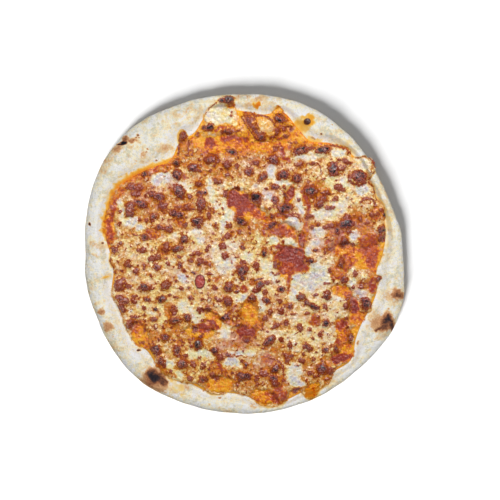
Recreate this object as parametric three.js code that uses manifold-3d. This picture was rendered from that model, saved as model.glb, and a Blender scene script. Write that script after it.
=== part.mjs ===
// A whole margherita pizza, as it comes from the oven: a disc of dough with a floured rim, tomato
// sauce spread on its floor, a sheet of melted mozzarella with blisters and with openings that show
// the sauce, a second island of cheese, a drop of cheese that burnt on the rim, and one piece of tomato.
// Millimetres, +Z up, +X right, +Y away. The origin is on the table under the middle of the pizza.

import * as THREE from "three";
import { mergeVertices } from "three/addons/utils/BufferGeometryUtils.js";
import Module from "manifold-3d";

const wasm = await Module();
wasm.setup();

// ---------------------------------------------------------------- driving dimensions

const TURN = 2 * Math.PI;

// Distance from the middle to the edge of the dough, every 15 degrees from +X, anticlockwise.
const CRUST_RADII = [
  158, 155, 155, 158, 160, 161, 160, 162, 168, 170, 168, 164,
  160, 161, 162, 164, 165, 163, 160, 160, 160, 161, 165, 164,
];
// Distance from the middle to the edge of the sauce, every 7.5 degrees.
const SAUCE_RADII = [
  138, 142, 144, 143, 143, 146, 146, 140, 131, 137, 147, 141,
  143, 146, 145, 132, 130, 121, 125, 133, 141, 144, 144, 141,
  135, 133, 138, 138, 139, 142, 138, 143, 145, 141, 143, 140,
  142, 151, 152, 150, 152, 148, 150, 140, 136, 137, 137, 133,
];

const DOUGH_FLOOR = 4; // thickness of the dough under the sauce
const GAP = 0.3; // between pieces that lie on each other
const SAUCE_DEPTH = 1.2;
const SAUCE_BEVEL = 3; // width of the sauce's thin edge
const CHEESE_DEPTH = 1.7;
const CHEESE_EDGE = 0.6; // thickness of the cheese at its outline
const CHEESE_EDGE_WIDTH = 4;

const CREST_LEAST = 9; // height of the narrowest rim
const CREST_PER_WIDTH = 0.12; // a wide rim puffs up more
const CREST_AT = 0.45; // where the crest lies between the rim's foot and its edge
const CREST_WAVE = 0.7;
const RIM_ROUNDNESS = 2.6; // how full the rim's outer slope is: 2 is an ellipse
const EDGE_HEIGHT = 4.6; // the rim's widest line
const UNDER_ROUND = 7; // how far the rounded underside reaches in
const FOOT_CLEARANCE = 1; // between the sauce's edge and the rim's foot

const SECTORS = 144;
const CELL = 5.3; // side of the triangles in the sheet of cheese

// Bubbles in the rim: middle, radius and height.
const RIM_BUBBLES = [
  { at: [-89, -126], radius: 16, height: 3.6 },
  { at: [140, -70], radius: 15, height: 3.6 },
  { at: [152, -41], radius: 8, height: 2 },
  { at: [-117, 113], radius: 11, height: 2.2 },
  { at: [-101, 98], radius: 9, height: 1.4 },
  { at: [-80, 106], radius: 9, height: 1.2 },
  { at: [-148, 4], radius: 11, height: 1.8 },
  { at: [-144, -57], radius: 8, height: 1.6 },
  { at: [-136, -73], radius: 10, height: 1.8 },
  { at: [-60, 135], radius: 14, height: 1.6 },
];

// Openings in the cheese where the sauce shows: middle, half length, half width, turn in degrees.
const SAUCE_POOLS = [
  { at: [-20, 110], long: 26, wide: 9, turn: 3 },
  { at: [22, 108], long: 22, wide: 5, turn: 4 },
  { at: [50, 120], long: 10, wide: 6, turn: -50 },
  { at: [-47, 113], long: 8, wide: 5, turn: 75 },
  { at: [-3, 50], long: 17, wide: 11, turn: -50 },
  { at: [14, 40], long: 10, wide: 5, turn: -35 },
  { at: [45, 58], long: 9, wide: 4, turn: 72 },
  { at: [42, 24], long: 10, wide: 5, turn: -35 },
  { at: [56, 14], long: 7, wide: 4, turn: 80 },
  { at: [47, -3], long: 14, wide: 10, turn: -20 },
  { at: [41, -15], long: 9, wide: 6, turn: 75 },
  { at: [104, 3], long: 18, wide: 7, turn: -5 },
  { at: [117, -6], long: 11, wide: 9, turn: 0 },
  { at: [127, -3], long: 14, wide: 8, turn: 80 },
  { at: [96, -37], long: 10, wide: 6, turn: -15 },
  { at: [110, -51], long: 10, wide: 5, turn: 85 },
  { at: [112, -64], long: 8, wide: 7, turn: 0 },
  { at: [96, -76], long: 11, wide: 5, turn: 100 },
  { at: [97, -103], long: 12, wide: 5, turn: 15 },
  { at: [102, -94], long: 7, wide: 5, turn: 0 },
  { at: [5, -60], long: 12, wide: 8, turn: -70 },
  { at: [1, -78], long: 9, wide: 6, turn: 0 },
  { at: [-31, -66], long: 11, wide: 5, turn: -40 },
  { at: [-45, -79], long: 15, wide: 5, turn: -5 },
  { at: [-105, -82], long: 13, wide: 8, turn: -70 },
  { at: [-25, -131], long: 14, wide: 8, turn: -5 },
  { at: [18, -143], long: 12, wide: 7, turn: -20 },
  { at: [67, -137], long: 10, wide: 6, turn: 50 },
  { at: [-135, 27], long: 13, wide: 5, turn: 98 },
];

// Large blisters in the cheese: middle, radius and height.
const BLISTERS = [
  { at: [-16, 153], radius: 9, height: 3.4 },
  { at: [22, 128], radius: 14, height: 4.5 },
  { at: [8, 130], radius: 8, height: 3.2 },
  { at: [33, 134], radius: 8, height: 2.6 },
  { at: [-34, 127], radius: 8, height: 2.4 },
  { at: [-33, 94], radius: 8, height: 2.8 },
  { at: [-52, 86], radius: 8, height: 2.4 },
  { at: [-62, 117], radius: 7, height: 2.8 },
  { at: [-68, 92], radius: 6, height: 2.4 },
  { at: [-18, 89], radius: 6, height: 2.4 },
  { at: [-67, 79], radius: 8, height: 2.2 },
  { at: [-66, 62], radius: 9, height: 2.4 },
  { at: [-46, 70], radius: 7, height: 2.2 },
  { at: [-87, 58], radius: 10, height: 2.2 },
  { at: [-104, 51], radius: 9, height: 2.2 },
  { at: [-115, 46], radius: 8, height: 2.2 },
  { at: [-67, 39], radius: 8, height: 2.4 },
  { at: [-46, 33], radius: 8, height: 2.4 },
  { at: [-44, 49], radius: 8, height: 2.4 },
  { at: [-61, 15], radius: 7, height: 2.4 },
  { at: [-67, 6], radius: 8, height: 2.2 },
  { at: [-4, 33], radius: 8, height: 2.2 },
  { at: [11, 57], radius: 8, height: 2.4 },
  { at: [40, 46], radius: 10, height: 2.6 },
  { at: [21, 46], radius: 9, height: 2.6 },
  { at: [48, 32], radius: 10, height: 3 },
  { at: [66, 62], radius: 9, height: 2.6 },
  { at: [76, 51], radius: 7, height: 2.4 },
  { at: [38, 79], radius: 8, height: 2.4 },
  { at: [52, 76], radius: 8, height: 2.4 },
  { at: [29, 94], radius: 7, height: 2.2 },
  { at: [53, 103], radius: 9, height: 2.6 },
  { at: [77, 104], radius: 9, height: 2.6 },
  { at: [87, 84], radius: 9, height: 2.8 },
  { at: [114, 77], radius: 10, height: 3 },
  { at: [120, 50], radius: 11, height: 2.8 },
  { at: [100, 30], radius: 9, height: 2.4 },
  { at: [99, 12], radius: 7, height: 2.2 },
  { at: [137, 22], radius: 8, height: 2.4 },
  { at: [118, -22], radius: 10, height: 2.8 },
  { at: [121, -51], radius: 8, height: 2.8 },
  { at: [101, -52], radius: 7, height: 2.6 },
  { at: [82, -41], radius: 7, height: 2.6 },
  { at: [66, -7], radius: 6, height: 2.2 },
  { at: [56, -43], radius: 7, height: 2.6 },
  { at: [68, -52], radius: 8, height: 2.2 },
  { at: [81, -69], radius: 6, height: 2.8 },
  { at: [77, -114], radius: 8, height: 2.6 },
  { at: [63, -93], radius: 6, height: 2.2 },
  { at: [19, 1], radius: 6, height: 2.8 },
  { at: [-3, -18], radius: 8, height: 2.4 },
  { at: [-16, -33], radius: 7, height: 2.6 },
  { at: [-17, -48], radius: 6, height: 2.4 },
  { at: [-9, -57], radius: 10, height: 2.4 },
  { at: [15, -30], radius: 7, height: 2.4 },
  { at: [24, -87], radius: 9, height: 2.2 },
  { at: [30, -114], radius: 8, height: 2.6 },
  { at: [34, -141], radius: 12, height: 3.4 },
  { at: [32, -127], radius: 8, height: 2.6 },
  { at: [-2, -121], radius: 7, height: 2.2 },
  { at: [-47, -90], radius: 7, height: 2.8 },
  { at: [-29, -96], radius: 6, height: 2.2 },
  { at: [-62, -110], radius: 8, height: 2.4 },
  { at: [-70, -66], radius: 8, height: 2.2 },
  { at: [-58, -63], radius: 6, height: 2.4 },
  { at: [-79, -31], radius: 8, height: 2.4 },
  { at: [-82, -45], radius: 7, height: 2.2 },
  { at: [-101, -33], radius: 8, height: 2.4 },
  { at: [-126, -31], radius: 8, height: 2.4 },
  { at: [-123, -49], radius: 10, height: 2.2 },
  { at: [-116, -70], radius: 7, height: 2.4 },
  { at: [-116, -11], radius: 7, height: 2.2 },
  { at: [-89, -95], radius: 8, height: 2.4 },
  { at: [-84, -106], radius: 7, height: 2.2 },
  { at: [-80, -83], radius: 6, height: 2.4 },
];
const SMALL_BLISTER_SPACING = 11; // the rest are this far apart at least
const SMALL_BLISTER_TRIES = 1500;
const SMALL_BLISTER_RADIUS = 4.8;
const SMALL_BLISTER_HEIGHTS = [0.8, 1.9];
const RANDOM_SEED = 7;

// A drop of cheese that fell on the rim and burnt there.
const CHEESE_DROP = { at: [62, 132], long: 3.7, wide: 3.4, turn: 20, height: 2.4 };
// Tongues of the sheet of cheese that run out over the rim.
const TONGUES = [
  { at: [-26, 138], long: 18, wide: 14, turn: 68 },
  { at: [-17, 150], long: 9, wide: 7, turn: 20 },
  { at: [120, 84], long: 18, wide: 13, turn: 60 },
  { at: [120, 62], long: 12, wide: 11, turn: -60 },
  { at: [-62, 109], long: 17, wide: 7, turn: 94 },
  { at: [34, -139], long: 12, wide: 11, turn: -50 },
];

const TOMATO = { at: [-45, -27.5], long: 7.2, wide: 5.3, turn: 88, height: 2.2 };
const TOMATO_SINK = 1.0; // how far the cheese under the tomato is pressed in

// ---------------------------------------------------------------- plane helpers

// The value of an evenly spaced list of distances at an angle, by a closed Catmull-Rom curve.
function around(values, angle) {
  const n = values.length;
  const u = (((angle / TURN) % 1) + 1) * n;
  const i = Math.floor(u);
  const f = u - i;
  const [a, b, c, d] = [-1, 0, 1, 2].map((k) => values[(i + k + n) % n]);
  return b + 0.5 * f * (c - a + f * (2 * a - 5 * b + 4 * c - d + f * (3 * (b - c) + d - a)));
}

const smooth = (t) => {
  const u = Math.min(1, Math.max(0, t));
  return u * u * (3 - 2 * u);
};

// A dome of height 1 at the middle of a spot, falling to 0 at its radius.
function dome(x, y, [cx, cy], radius) {
  const d = Math.hypot(x - cx, y - cy) / radius;
  return d < 1 ? Math.sqrt(1 - d * d) * smooth(2 * (1 - d)) : 0;
}

// How far a point lies inside an ellipse, in millimetres, and negative outside it.
function depthInEllipse(x, y, { at, long, wide, turn }) {
  const a = THREE.MathUtils.degToRad(turn);
  const [dx, dy] = [x - at[0], y - at[1]];
  const u = (dx * Math.cos(a) + dy * Math.sin(a)) / long;
  const v = (dy * Math.cos(a) - dx * Math.sin(a)) / wide;
  return (1 - Math.hypot(u, v)) * Math.min(long, wide);
}

// A slow unevenness between about -1 and 1, the same everywhere it is asked for.
function unevenness(x, y) {
  return (
    0.5 * Math.sin(0.071 * x + 0.043 * y + 1.3) +
    0.3 * Math.sin(0.118 * y - 0.067 * x + 4.1) +
    0.2 * Math.sin(0.161 * x + 0.137 * y + 2.2)
  );
}

// Random numbers from 0 to 1, the same ones each run.
function randomFrom(seed) {
  let state = seed;
  return () => {
    state = (Math.imul(state, 1664525) + 1013904223) >>> 0;
    return state / 4294967296;
  };
}

// ---------------------------------------------------------------- heights

const crustRadius = (angle) => around(CRUST_RADII, angle);
const sauceRadius = (angle) => around(SAUCE_RADII, angle);
const footRadius = (angle) => sauceRadius(angle) + FOOT_CLEARANCE;

// Top of the rim, where t runs from 0 at its foot to 1 at its edge.
function rimHeight(x, y, t, width) {
  const crest = CREST_LEAST + CREST_PER_WIDTH * width + CREST_WAVE * unevenness(x, y);
  const inner = DOUGH_FLOOR + (crest - DOUGH_FLOOR) * smooth(t / CREST_AT);
  const out = Math.max(0, (t - CREST_AT) / (1 - CREST_AT));
  const fall = Math.sqrt(Math.max(0, 1 - out ** RIM_ROUNDNESS));
  const outer = EDGE_HEIGHT + (crest - EDGE_HEIGHT) * fall;
  const fade = smooth(4 * t) * smooth(5 * (1 - t));
  const bubbles = RIM_BUBBLES.reduce(
    (sum, b) => sum + b.height * dome(x, y, b.at, b.radius) * fade,
    0,
  );
  return (t < CREST_AT ? inner : outer) + bubbles;
}

function doughTop(x, y) {
  const angle = Math.atan2(y, x);
  const [foot, edge] = [footRadius(angle), crustRadius(angle)];
  const r = Math.hypot(x, y);
  if (r <= foot) return DOUGH_FLOOR;
  return rimHeight(x, y, Math.min(1, (r - foot) / (edge - foot)), edge - foot);
}

const SAUCE_TOP = DOUGH_FLOOR + GAP + SAUCE_DEPTH;

// What the cheese lies on, with the gap: the sauce, or the dough outside it.
function cheeseBed(x, y) {
  return Math.max(SAUCE_TOP, doughTop(x, y)) + GAP;
}

// ---------------------------------------------------------------- solids from meshes

// A closed geometry as a manifold-3d solid.
function solidOf(geometry) {
  geometry.deleteAttribute("normal");
  geometry.deleteAttribute("uv");
  const merged = mergeVertices(geometry, 1e-3);
  return new wasm.Manifold(
    new wasm.Mesh({
      numProp: 3,
      vertProperties: new Float32Array(merged.attributes.position.array),
      triVerts: new Uint32Array(merged.index.array),
    }),
  );
}

// A manifold-3d solid as a geometry.
function geometryOf(solid) {
  const { vertProperties, triVerts } = solid.getMesh();
  return new THREE.BufferGeometry()
    .setAttribute("position", new THREE.BufferAttribute(vertProperties, 3))
    .setIndex(new THREE.BufferAttribute(triVerts, 1));
}

// The separate pieces of a solid, the largest first, without those under a volume.
const piecesOf = (solid, least = 0) =>
  solid
    .decompose()
    .filter((piece) => piece.volume() > least)
    .sort((a, b) => b.volume() - a.volume());

// A closed form whose section runs from the top of its axis, out through the stations and back to
// the bottom of the axis, turned round it. place(angle, station) gives each station's point.
function turned(stations, sectors, place) {
  const upward = [...stations].reverse();
  const last = upward.length - 1;
  const profile = upward.map((_, j) => new THREE.Vector2(j === 0 || j === last ? 0 : 1, j));
  const geometry = new THREE.LatheGeometry(profile, sectors);
  const position = geometry.attributes.position;
  for (let k = 0; k < position.count; k++) {
    const angle = ((Math.floor(k / upward.length) % sectors) / sectors) * TURN;
    position.setXYZ(k, ...place(angle, upward[k % upward.length]));
  }
  return geometry;
}

// ---------------------------------------------------------------- dough

const RIM_STATIONS = [0, 0.12, 0.26, 0.4, 0.54, 0.68, 0.8, 0.9, 0.965, 1];
const UNDERSIDE = [
  { in: 0.3 * UNDER_ROUND, z: 1.3 },
  { in: UNDER_ROUND, z: 0 },
];

function doughGeometry() {
  const stations = [
    { kind: "floor", share: 0 },
    { kind: "floor", share: 0.5 },
    ...RIM_STATIONS.map((t) => ({ kind: "rim", t })),
    ...UNDERSIDE.map((u) => ({ kind: "under", ...u })),
    { kind: "middle" },
  ];
  return turned(stations, SECTORS, (angle, station) => {
    const [foot, edge] = [footRadius(angle), crustRadius(angle)];
    const point = (r, z) => [r * Math.cos(angle), r * Math.sin(angle), z];
    if (station.kind === "middle") return [0, 0, 0];
    if (station.kind === "floor") return point(station.share * foot, DOUGH_FLOOR);
    if (station.kind === "under") return point(edge - station.in, station.z);
    const r = foot + station.t * (edge - foot);
    const [x, y] = point(r, 0);
    return [x, y, rimHeight(x, y, station.t, edge - foot)];
  });
}

// ---------------------------------------------------------------- sauce

const SAUCE_SECTORS = 96;

function sauceGeometry() {
  const stations = [
    { in: Infinity, rise: 1 },
    { in: SAUCE_BEVEL, rise: 1 },
    { in: 0.4 * SAUCE_BEVEL, rise: 0.7 },
    { in: 0, rise: 0.12 },
    { in: 0, rise: 0 },
    { in: Infinity, rise: 0 },
  ];
  return turned(stations, SAUCE_SECTORS, (angle, station) => {
    const r = Math.max(0, sauceRadius(angle) - station.in);
    return [r * Math.cos(angle), r * Math.sin(angle), DOUGH_FLOOR + GAP + station.rise * SAUCE_DEPTH];
  });
}

// ---------------------------------------------------------------- cheese

const CHEESE_NAMES = ["cheese", "cheese_north"]; // the sheet's islands, the largest first
const LEAST_ISLAND = 60; // crumbs under this volume are left out
const CHEESE_INSET = 4; // the cheese stops this far inside the sauce's edge, on average
const OUTLINE_WAVE = 2.2; // how much its outline and its openings wander
const OUTLINE_BENDS = 4.3; // how much closer those bends lie than the rim's unevenness
const TOP_WAVE = 0.3;
const TOP_BENDS = 3;

// Positive where there is cheese: about the distance to its outline.
function cheeseReach(x, y) {
  const angle = Math.atan2(y, x);
  const wander = OUTLINE_WAVE * unevenness(OUTLINE_BENDS * x, OUTLINE_BENDS * y);
  const sheet = sauceRadius(angle) - CHEESE_INSET - Math.hypot(x, y) + wander;
  const tongue = Math.max(...TONGUES.map((t) => depthInEllipse(x, y, t)));
  const pool = Math.max(...SAUCE_POOLS.map((p) => depthInEllipse(x, y, p)));
  return Math.min(Math.max(sheet, tongue), wander - pool);
}

// The large blisters, and small ones scattered between them wherever there is cheese.
function scatterBlisters() {
  const random = randomFrom(RANDOM_SEED);
  const all = [...BLISTERS];
  const [least, most] = SMALL_BLISTER_HEIGHTS;
  const reach = Math.max(...SAUCE_RADII);
  for (let i = 0; i < SMALL_BLISTER_TRIES; i++) {
    const at = [reach * (2 * random() - 1), reach * (2 * random() - 1)];
    const height = least + (most - least) * random();
    const clear = all.every((b) => Math.hypot(at[0] - b.at[0], at[1] - b.at[1]) > SMALL_BLISTER_SPACING);
    const tomato = depthInEllipse(...at, TOMATO) > -SMALL_BLISTER_SPACING / 2;
    if (clear && !tomato && cheeseReach(...at) > CHEESE_EDGE_WIDTH) {
      all.push({ at, radius: SMALL_BLISTER_RADIUS, height });
    }
  }
  return all;
}

function cheeseTop(x, y, reach, blisters) {
  const thick = CHEESE_EDGE + (CHEESE_DEPTH - CHEESE_EDGE) * smooth(reach / CHEESE_EDGE_WIDTH);
  const raised = blisters.reduce(
    (most, b) => Math.max(most, b.height * dome(x, y, b.at, b.radius)),
    0,
  );
  const pressed = TOMATO_SINK * smooth(0.5 + depthInEllipse(x, y, TOMATO) / 2);
  const wave = TOP_WAVE * unevenness(TOP_BENDS * x, TOP_BENDS * y);
  return cheeseBed(x, y) + thick + wave + raised - pressed;
}

// Points of an even triangular net, each pulled onto the nearest blister's middle.
function netPoints(blisters) {
  const reach = Math.max(...CRUST_RADII);
  const rowStep = (CELL * Math.sqrt(3)) / 2;
  const rows = Math.ceil(reach / rowStep);
  const columns = Math.ceil(reach / CELL);
  const points = new Map();
  for (let row = -rows; row <= rows; row++) {
    for (let column = -columns; column <= columns; column++) {
      const x = (column + (Math.abs(row) % 2) / 2) * CELL;
      points.set(`${row},${column}`, { x, y: row * rowStep });
    }
  }
  for (const { at } of blisters) {
    const row = Math.round(at[1] / rowStep);
    const column = Math.round(at[0] / CELL - (Math.abs(row) % 2) / 2);
    const point = points.get(`${row},${column}`);
    if (point && !point.pulled) Object.assign(point, { x: at[0], y: at[1], pulled: true });
  }
  return { points, rows, columns };
}

// The net's triangles, each as three keys of its points, anticlockwise.
function netTriangles({ rows, columns }) {
  const triangles = [];
  for (let row = -rows; row < rows; row++) {
    const shift = Math.abs(row) % 2;
    for (let column = -columns; column < columns; column++) {
      const near = [`${row},${column}`, `${row},${column + 1}`];
      const far = [`${row + 1},${column}`, `${row + 1},${column + 1}`];
      if (shift) triangles.push([near[0], far[1], far[0]], [near[0], near[1], far[1]]);
      else triangles.push([near[0], near[1], far[0]], [near[1], far[1], far[0]]);
    }
  }
  return triangles;
}

const LEAST_REACH = 0.35; // keeps the outline clear of the net's points, so no face is a sliver

// The sheet as a slab over the net, cut along the line where the reach is zero, with upright
// sides down to a flat bottom that lies below the top of the sauce.
function cheeseSlab(blisters) {
  const net = netPoints(blisters);
  for (const p of net.points.values()) {
    const reach = cheeseReach(p.x, p.y);
    p.reach = reach > 0 ? Math.max(reach, LEAST_REACH) : Math.min(reach, -LEAST_REACH);
    p.z = cheeseTop(p.x, p.y, p.reach, blisters);
  }
  const bottom = SAUCE_TOP - SAUCE_DEPTH / 2;
  const positions = [];
  const put = (...corners) => corners.forEach(([p, z]) => positions.push(p.x, p.y, z ?? p.z));
  const crossing = (a, b) => {
    const t = a.reach / (a.reach - b.reach);
    const [x, y] = [a.x + t * (b.x - a.x), a.y + t * (b.y - a.y)];
    return { x, y, z: cheeseBed(x, y) + CHEESE_EDGE };
  };
  const addFace = (corners) => {
    for (let i = 1; i < corners.length - 1; i++) {
      const [a, b, c] = [corners[0], corners[i], corners[i + 1]];
      put([a], [b], [c]);
      put([a, bottom], [c, bottom], [b, bottom]);
    }
  };
  const addSide = (a, b) => {
    put([a, bottom], [b, bottom], [b]);
    put([a, bottom], [b], [a]);
  };
  for (const keys of netTriangles(net)) {
    const corners = keys.map((key) => net.points.get(key));
    const inside = corners.filter((p) => p.reach > 0).length;
    if (inside === 0) continue;
    if (inside === 3) {
      addFace(corners);
      continue;
    }
    const lone = corners.findIndex((p) => p.reach > 0 === (inside === 1));
    const [a, b, c] = [0, 1, 2].map((k) => corners[(lone + k) % 3]);
    const [ab, ac] = inside === 1 ? [crossing(a, b), crossing(a, c)] : [crossing(b, a), crossing(c, a)];
    if (inside === 1) {
      addFace([a, ab, ac]);
      addSide(ab, ac);
    } else {
      addFace([ab, b, c, ac]);
      addSide(ac, ab);
    }
  }
  return new THREE.BufferGeometry().setAttribute(
    "position",
    new THREE.Float32BufferAttribute(positions, 3),
  );
}

const DOME_SECTORS = 22;

// A low dome over an ellipse, from a bottom up to its height above what it lies on.
function domeGeometry({ at, long, wide, turn, height }, bottom, bed, sectors) {
  const a = THREE.MathUtils.degToRad(turn);
  const stations = [
    { share: 0, rise: 1 },
    { share: 0.5, rise: 0.88 },
    { share: 0.85, rise: 0.55 },
    { share: 1, rise: 0.12 },
    { share: 1, rise: null },
    { share: 0, rise: null },
  ];
  return turned(stations, sectors, (angle, { share, rise }) => {
    const [u, v] = [share * long * Math.cos(angle), share * wide * Math.sin(angle)];
    const x = at[0] + u * Math.cos(a) - v * Math.sin(a);
    const y = at[1] + u * Math.sin(a) + v * Math.cos(a);
    return [x, y, rise === null ? bottom : bed(x, y) + rise * height];
  });
}

// ---------------------------------------------------------------- materials

const material = (color, roughness) => new THREE.MeshStandardMaterial({ color, roughness, metalness: 0 });
const doughMaterial = material(0xe9dfc6, 0.85);
const sauceMaterial = material(0xb4441f, 0.35);
const cheeseMaterial = material(0xe9c987, 0.4);
const scorchedMaterial = material(0x4a2018, 0.35);
const tomatoMaterial = material(0xa83c2c, 0.35);

// ---------------------------------------------------------------- the pizza

const lift = [0, 0, GAP];
const blisters = scatterBlisters();
const dough = solidOf(doughGeometry());
const sauce = solidOf(sauceGeometry());
const cheeses = piecesOf(
  solidOf(cheeseSlab(blisters)).subtract(dough.translate(lift)).subtract(sauce.translate(lift)),
  LEAST_ISLAND,
);
const onDough = (x, y) => doughTop(x, y) + GAP;
const drop = solidOf(domeGeometry(CHEESE_DROP, DOUGH_FLOOR, onDough, DOME_SECTORS));
const onCheese = (x, y) => cheeseTop(x, y, CHEESE_EDGE_WIDTH, []) + GAP;
const tomato = solidOf(domeGeometry(TOMATO, SAUCE_TOP + GAP, onCheese, DOME_SECTORS));

const pizza = new THREE.Group();
function addNode(name, solid, nodeMaterial) {
  const mesh = new THREE.Mesh(geometryOf(solid), nodeMaterial);
  mesh.name = name;
  pizza.add(mesh);
}
addNode("dough", dough, doughMaterial);
addNode("sauce", sauce, sauceMaterial);
CHEESE_NAMES.forEach((name, i) => addNode(name, cheeses[i], cheeseMaterial));
addNode("cheese_drop", piecesOf(drop.subtract(dough.translate(lift)))[0], scorchedMaterial);
addNode("tomato", piecesOf(tomato.subtract(cheeses[0].translate(lift)))[0], tomatoMaterial);

export default pizza;
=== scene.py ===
import math

import bpy
import numpy as np
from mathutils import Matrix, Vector
from mathutils.geometry import delaunay_2d_cdt


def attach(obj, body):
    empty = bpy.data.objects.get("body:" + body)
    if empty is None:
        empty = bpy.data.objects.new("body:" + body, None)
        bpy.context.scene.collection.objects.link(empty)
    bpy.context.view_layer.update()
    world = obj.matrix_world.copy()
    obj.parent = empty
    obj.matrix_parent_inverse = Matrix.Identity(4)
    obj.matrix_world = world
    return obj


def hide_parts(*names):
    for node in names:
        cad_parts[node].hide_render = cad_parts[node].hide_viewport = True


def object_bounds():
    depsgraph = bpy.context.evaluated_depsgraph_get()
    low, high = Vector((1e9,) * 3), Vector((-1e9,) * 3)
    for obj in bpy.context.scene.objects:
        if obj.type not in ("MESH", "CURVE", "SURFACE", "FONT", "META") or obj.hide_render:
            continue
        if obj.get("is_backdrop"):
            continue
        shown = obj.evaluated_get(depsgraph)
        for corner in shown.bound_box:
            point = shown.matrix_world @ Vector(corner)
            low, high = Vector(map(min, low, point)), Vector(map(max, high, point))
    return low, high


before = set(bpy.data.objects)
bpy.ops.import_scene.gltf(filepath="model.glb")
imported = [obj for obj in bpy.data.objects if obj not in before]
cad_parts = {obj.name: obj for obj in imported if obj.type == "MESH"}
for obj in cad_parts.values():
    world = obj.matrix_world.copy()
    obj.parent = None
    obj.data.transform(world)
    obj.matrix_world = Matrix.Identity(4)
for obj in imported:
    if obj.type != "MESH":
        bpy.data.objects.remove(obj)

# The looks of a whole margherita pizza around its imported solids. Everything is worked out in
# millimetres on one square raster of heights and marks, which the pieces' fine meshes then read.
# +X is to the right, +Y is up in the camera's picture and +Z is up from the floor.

cad_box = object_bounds()
MM = 0.001
TURN = 2 * math.pi

# ---------------------------------------------------------------- the dough's and cheese's sizes

CRUST_RADII = [  # from the middle to the dough's edge, every 7.5 degrees from +X, anticlockwise
    158.0, 158.0, 155.5, 154.0, 154.7, 156.0, 157.6, 159.0, 160.3, 161.0, 161.0, 160.5,
    160.0, 161.0, 162.0, 163.5, 166.0, 168.5, 170.0, 170.0, 168.5, 166.5, 164.0, 161.5,
    160.0, 161.5, 161.5, 161.5, 162.5, 163.5, 165.0, 164.5, 163.0, 161.5, 160.5, 160.0,
    160.0, 160.0, 160.0, 160.5, 160.8, 161.3, 162.0, 163.5, 166.0, 166.0, 164.5, 161.0,
]
SAUCE_RADII = [  # from the middle to the sauce's edge, every 7.5 degrees
    138, 142, 144, 143, 143, 146, 146, 140, 131, 137, 147, 141,
    143, 146, 145, 132, 130, 121, 125, 133, 141, 144, 144, 141,
    135, 133, 138, 138, 139, 142, 138, 143, 145, 141, 143, 140,
    142, 151, 152, 150, 152, 148, 150, 140, 136, 137, 137, 133,
]
DOUGH_FLOOR = 4.0  # top of the dough under the sauce
GAP = 0.3  # air between one solid and the next
SAUCE_DEPTH = 1.2
SAUCE_TOP = DOUGH_FLOOR + GAP + SAUCE_DEPTH
CHEESE_DEPTH = 1.7
CHEESE_EDGE = 0.35  # the cheese's depth at its edge
CHEESE_EDGE_WIDTH = 3.0  # from there to its full depth
CREST_LEAST = 9.0  # the rim's crest, to which its width and some waves add
CREST_PER_WIDTH = 0.12
CREST_WAVE = 0.7
CREST_AT = 0.45  # of the way from the rim's foot to its edge
RIM_ROUNDNESS = 2.6
EDGE_HEIGHT = 4.6  # where the rim is widest
UNDER_ROUND = 7.0  # from the edge in to the flat underside
FOOT_CLEARANCE = 1.0  # from the sauce's edge to the rim's foot
HIGHEST = 16.4  # no swelling in the cheese goes above this

# ---------------------------------------------------------------- what lies where, in millimetres

# The outline of the cheese and sauce, anticlockwise from +X.
TOPPING_OUTLINE = [
    (139, 0), (136, 9), (141, 20), (140, 30), (141, 40), (138, 50), (131, 58), (129, 68), (125, 74),
    (130, 82), (131, 92), (122, 98), (114, 97), (107, 98), (106, 104), (100, 108), (90, 110), (78, 109),
    (68, 110), (60, 113), (57, 120), (50, 128), (42, 135), (38, 144), (32, 148), (28, 143), (25, 137),
    (15, 140), (8, 142), (0, 143), (-5, 137), (-10, 148), (-10, 157), (-22, 158), (-30, 152), (-38, 145),
    (-42, 137), (-41, 130), (-44, 125), (-50, 121), (-54, 116), (-55, 112), (-57, 118), (-62, 124),
    (-67, 118), (-66, 108), (-68, 97), (-72, 95), (-80, 91), (-90, 87), (-100, 84), (-108, 80),
    (-118, 74), (-126, 68), (-131, 61), (-135, 54), (-137, 46), (-140, 38), (-142, 28), (-142, 22),
    (-139, 15), (-135, 8), (-134, 3), (-136, -6), (-134, -12), (-131, -17), (-132, -27), (-134, -37),
    (-133, -45), (-127, -54), (-124, -62), (-121, -72), (-117, -80), (-112, -87), (-106, -94),
    (-98, -96), (-93, -99), (-91, -106), (-90, -111), (-84, -118), (-77, -124), (-70, -127),
    (-60, -130), (-50, -131), (-42, -135), (-36, -140), (-25, -141), (-12, -138), (-5, -141),
    (4, -143), (12, -149), (22, -153), (35, -151), (44, -145), (46, -138), (55, -137), (61, -144),
    (68, -145), (76, -135), (85, -128), (90, -118), (95, -112), (104, -108), (108, -103), (110, -98),
    (108, -93), (110, -85), (107, -76), (114, -71), (120, -66), (122, -60), (127, -57), (127, -47),
    (131, -40), (134, -30), (137, -23), (131, -19), (135, -10), (139, -2),
]

# Openings in the cheese where the sauce shows: middle, half length, half width, turn in degrees.
SAUCE_POOLS = [
    (-20, 110, 26, 9, 3), (22, 108, 22, 5, 4), (50, 120, 10, 6, -50), (-47, 113, 8, 5, 75),
    (-3, 50, 17, 11, -50), (14, 40, 10, 5, -35), (45, 58, 9, 4, 72), (42, 24, 10, 5, -35),
    (56, 14, 7, 4, 80), (47, -3, 14, 10, -20), (41, -15, 9, 6, 75), (104, 3, 18, 7, -5),
    (117, -6, 11, 9, 0), (127, -3, 14, 8, 80), (96, -37, 10, 6, -15), (110, -51, 10, 5, 85),
    (112, -64, 8, 7, 0), (96, -76, 11, 5, 100), (97, -103, 12, 5, 15), (102, -94, 7, 5, 0),
    (5, -60, 12, 8, -70), (1, -78, 9, 6, 0), (-31, -66, 11, 5, -40), (-45, -79, 15, 5, -5),
    (-105, -82, 13, 8, -70), (-25, -131, 14, 8, -5), (18, -143, 12, 7, -20), (67, -137, 10, 6, 50),
    (-135, 27, 13, 5, 98),
]

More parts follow.
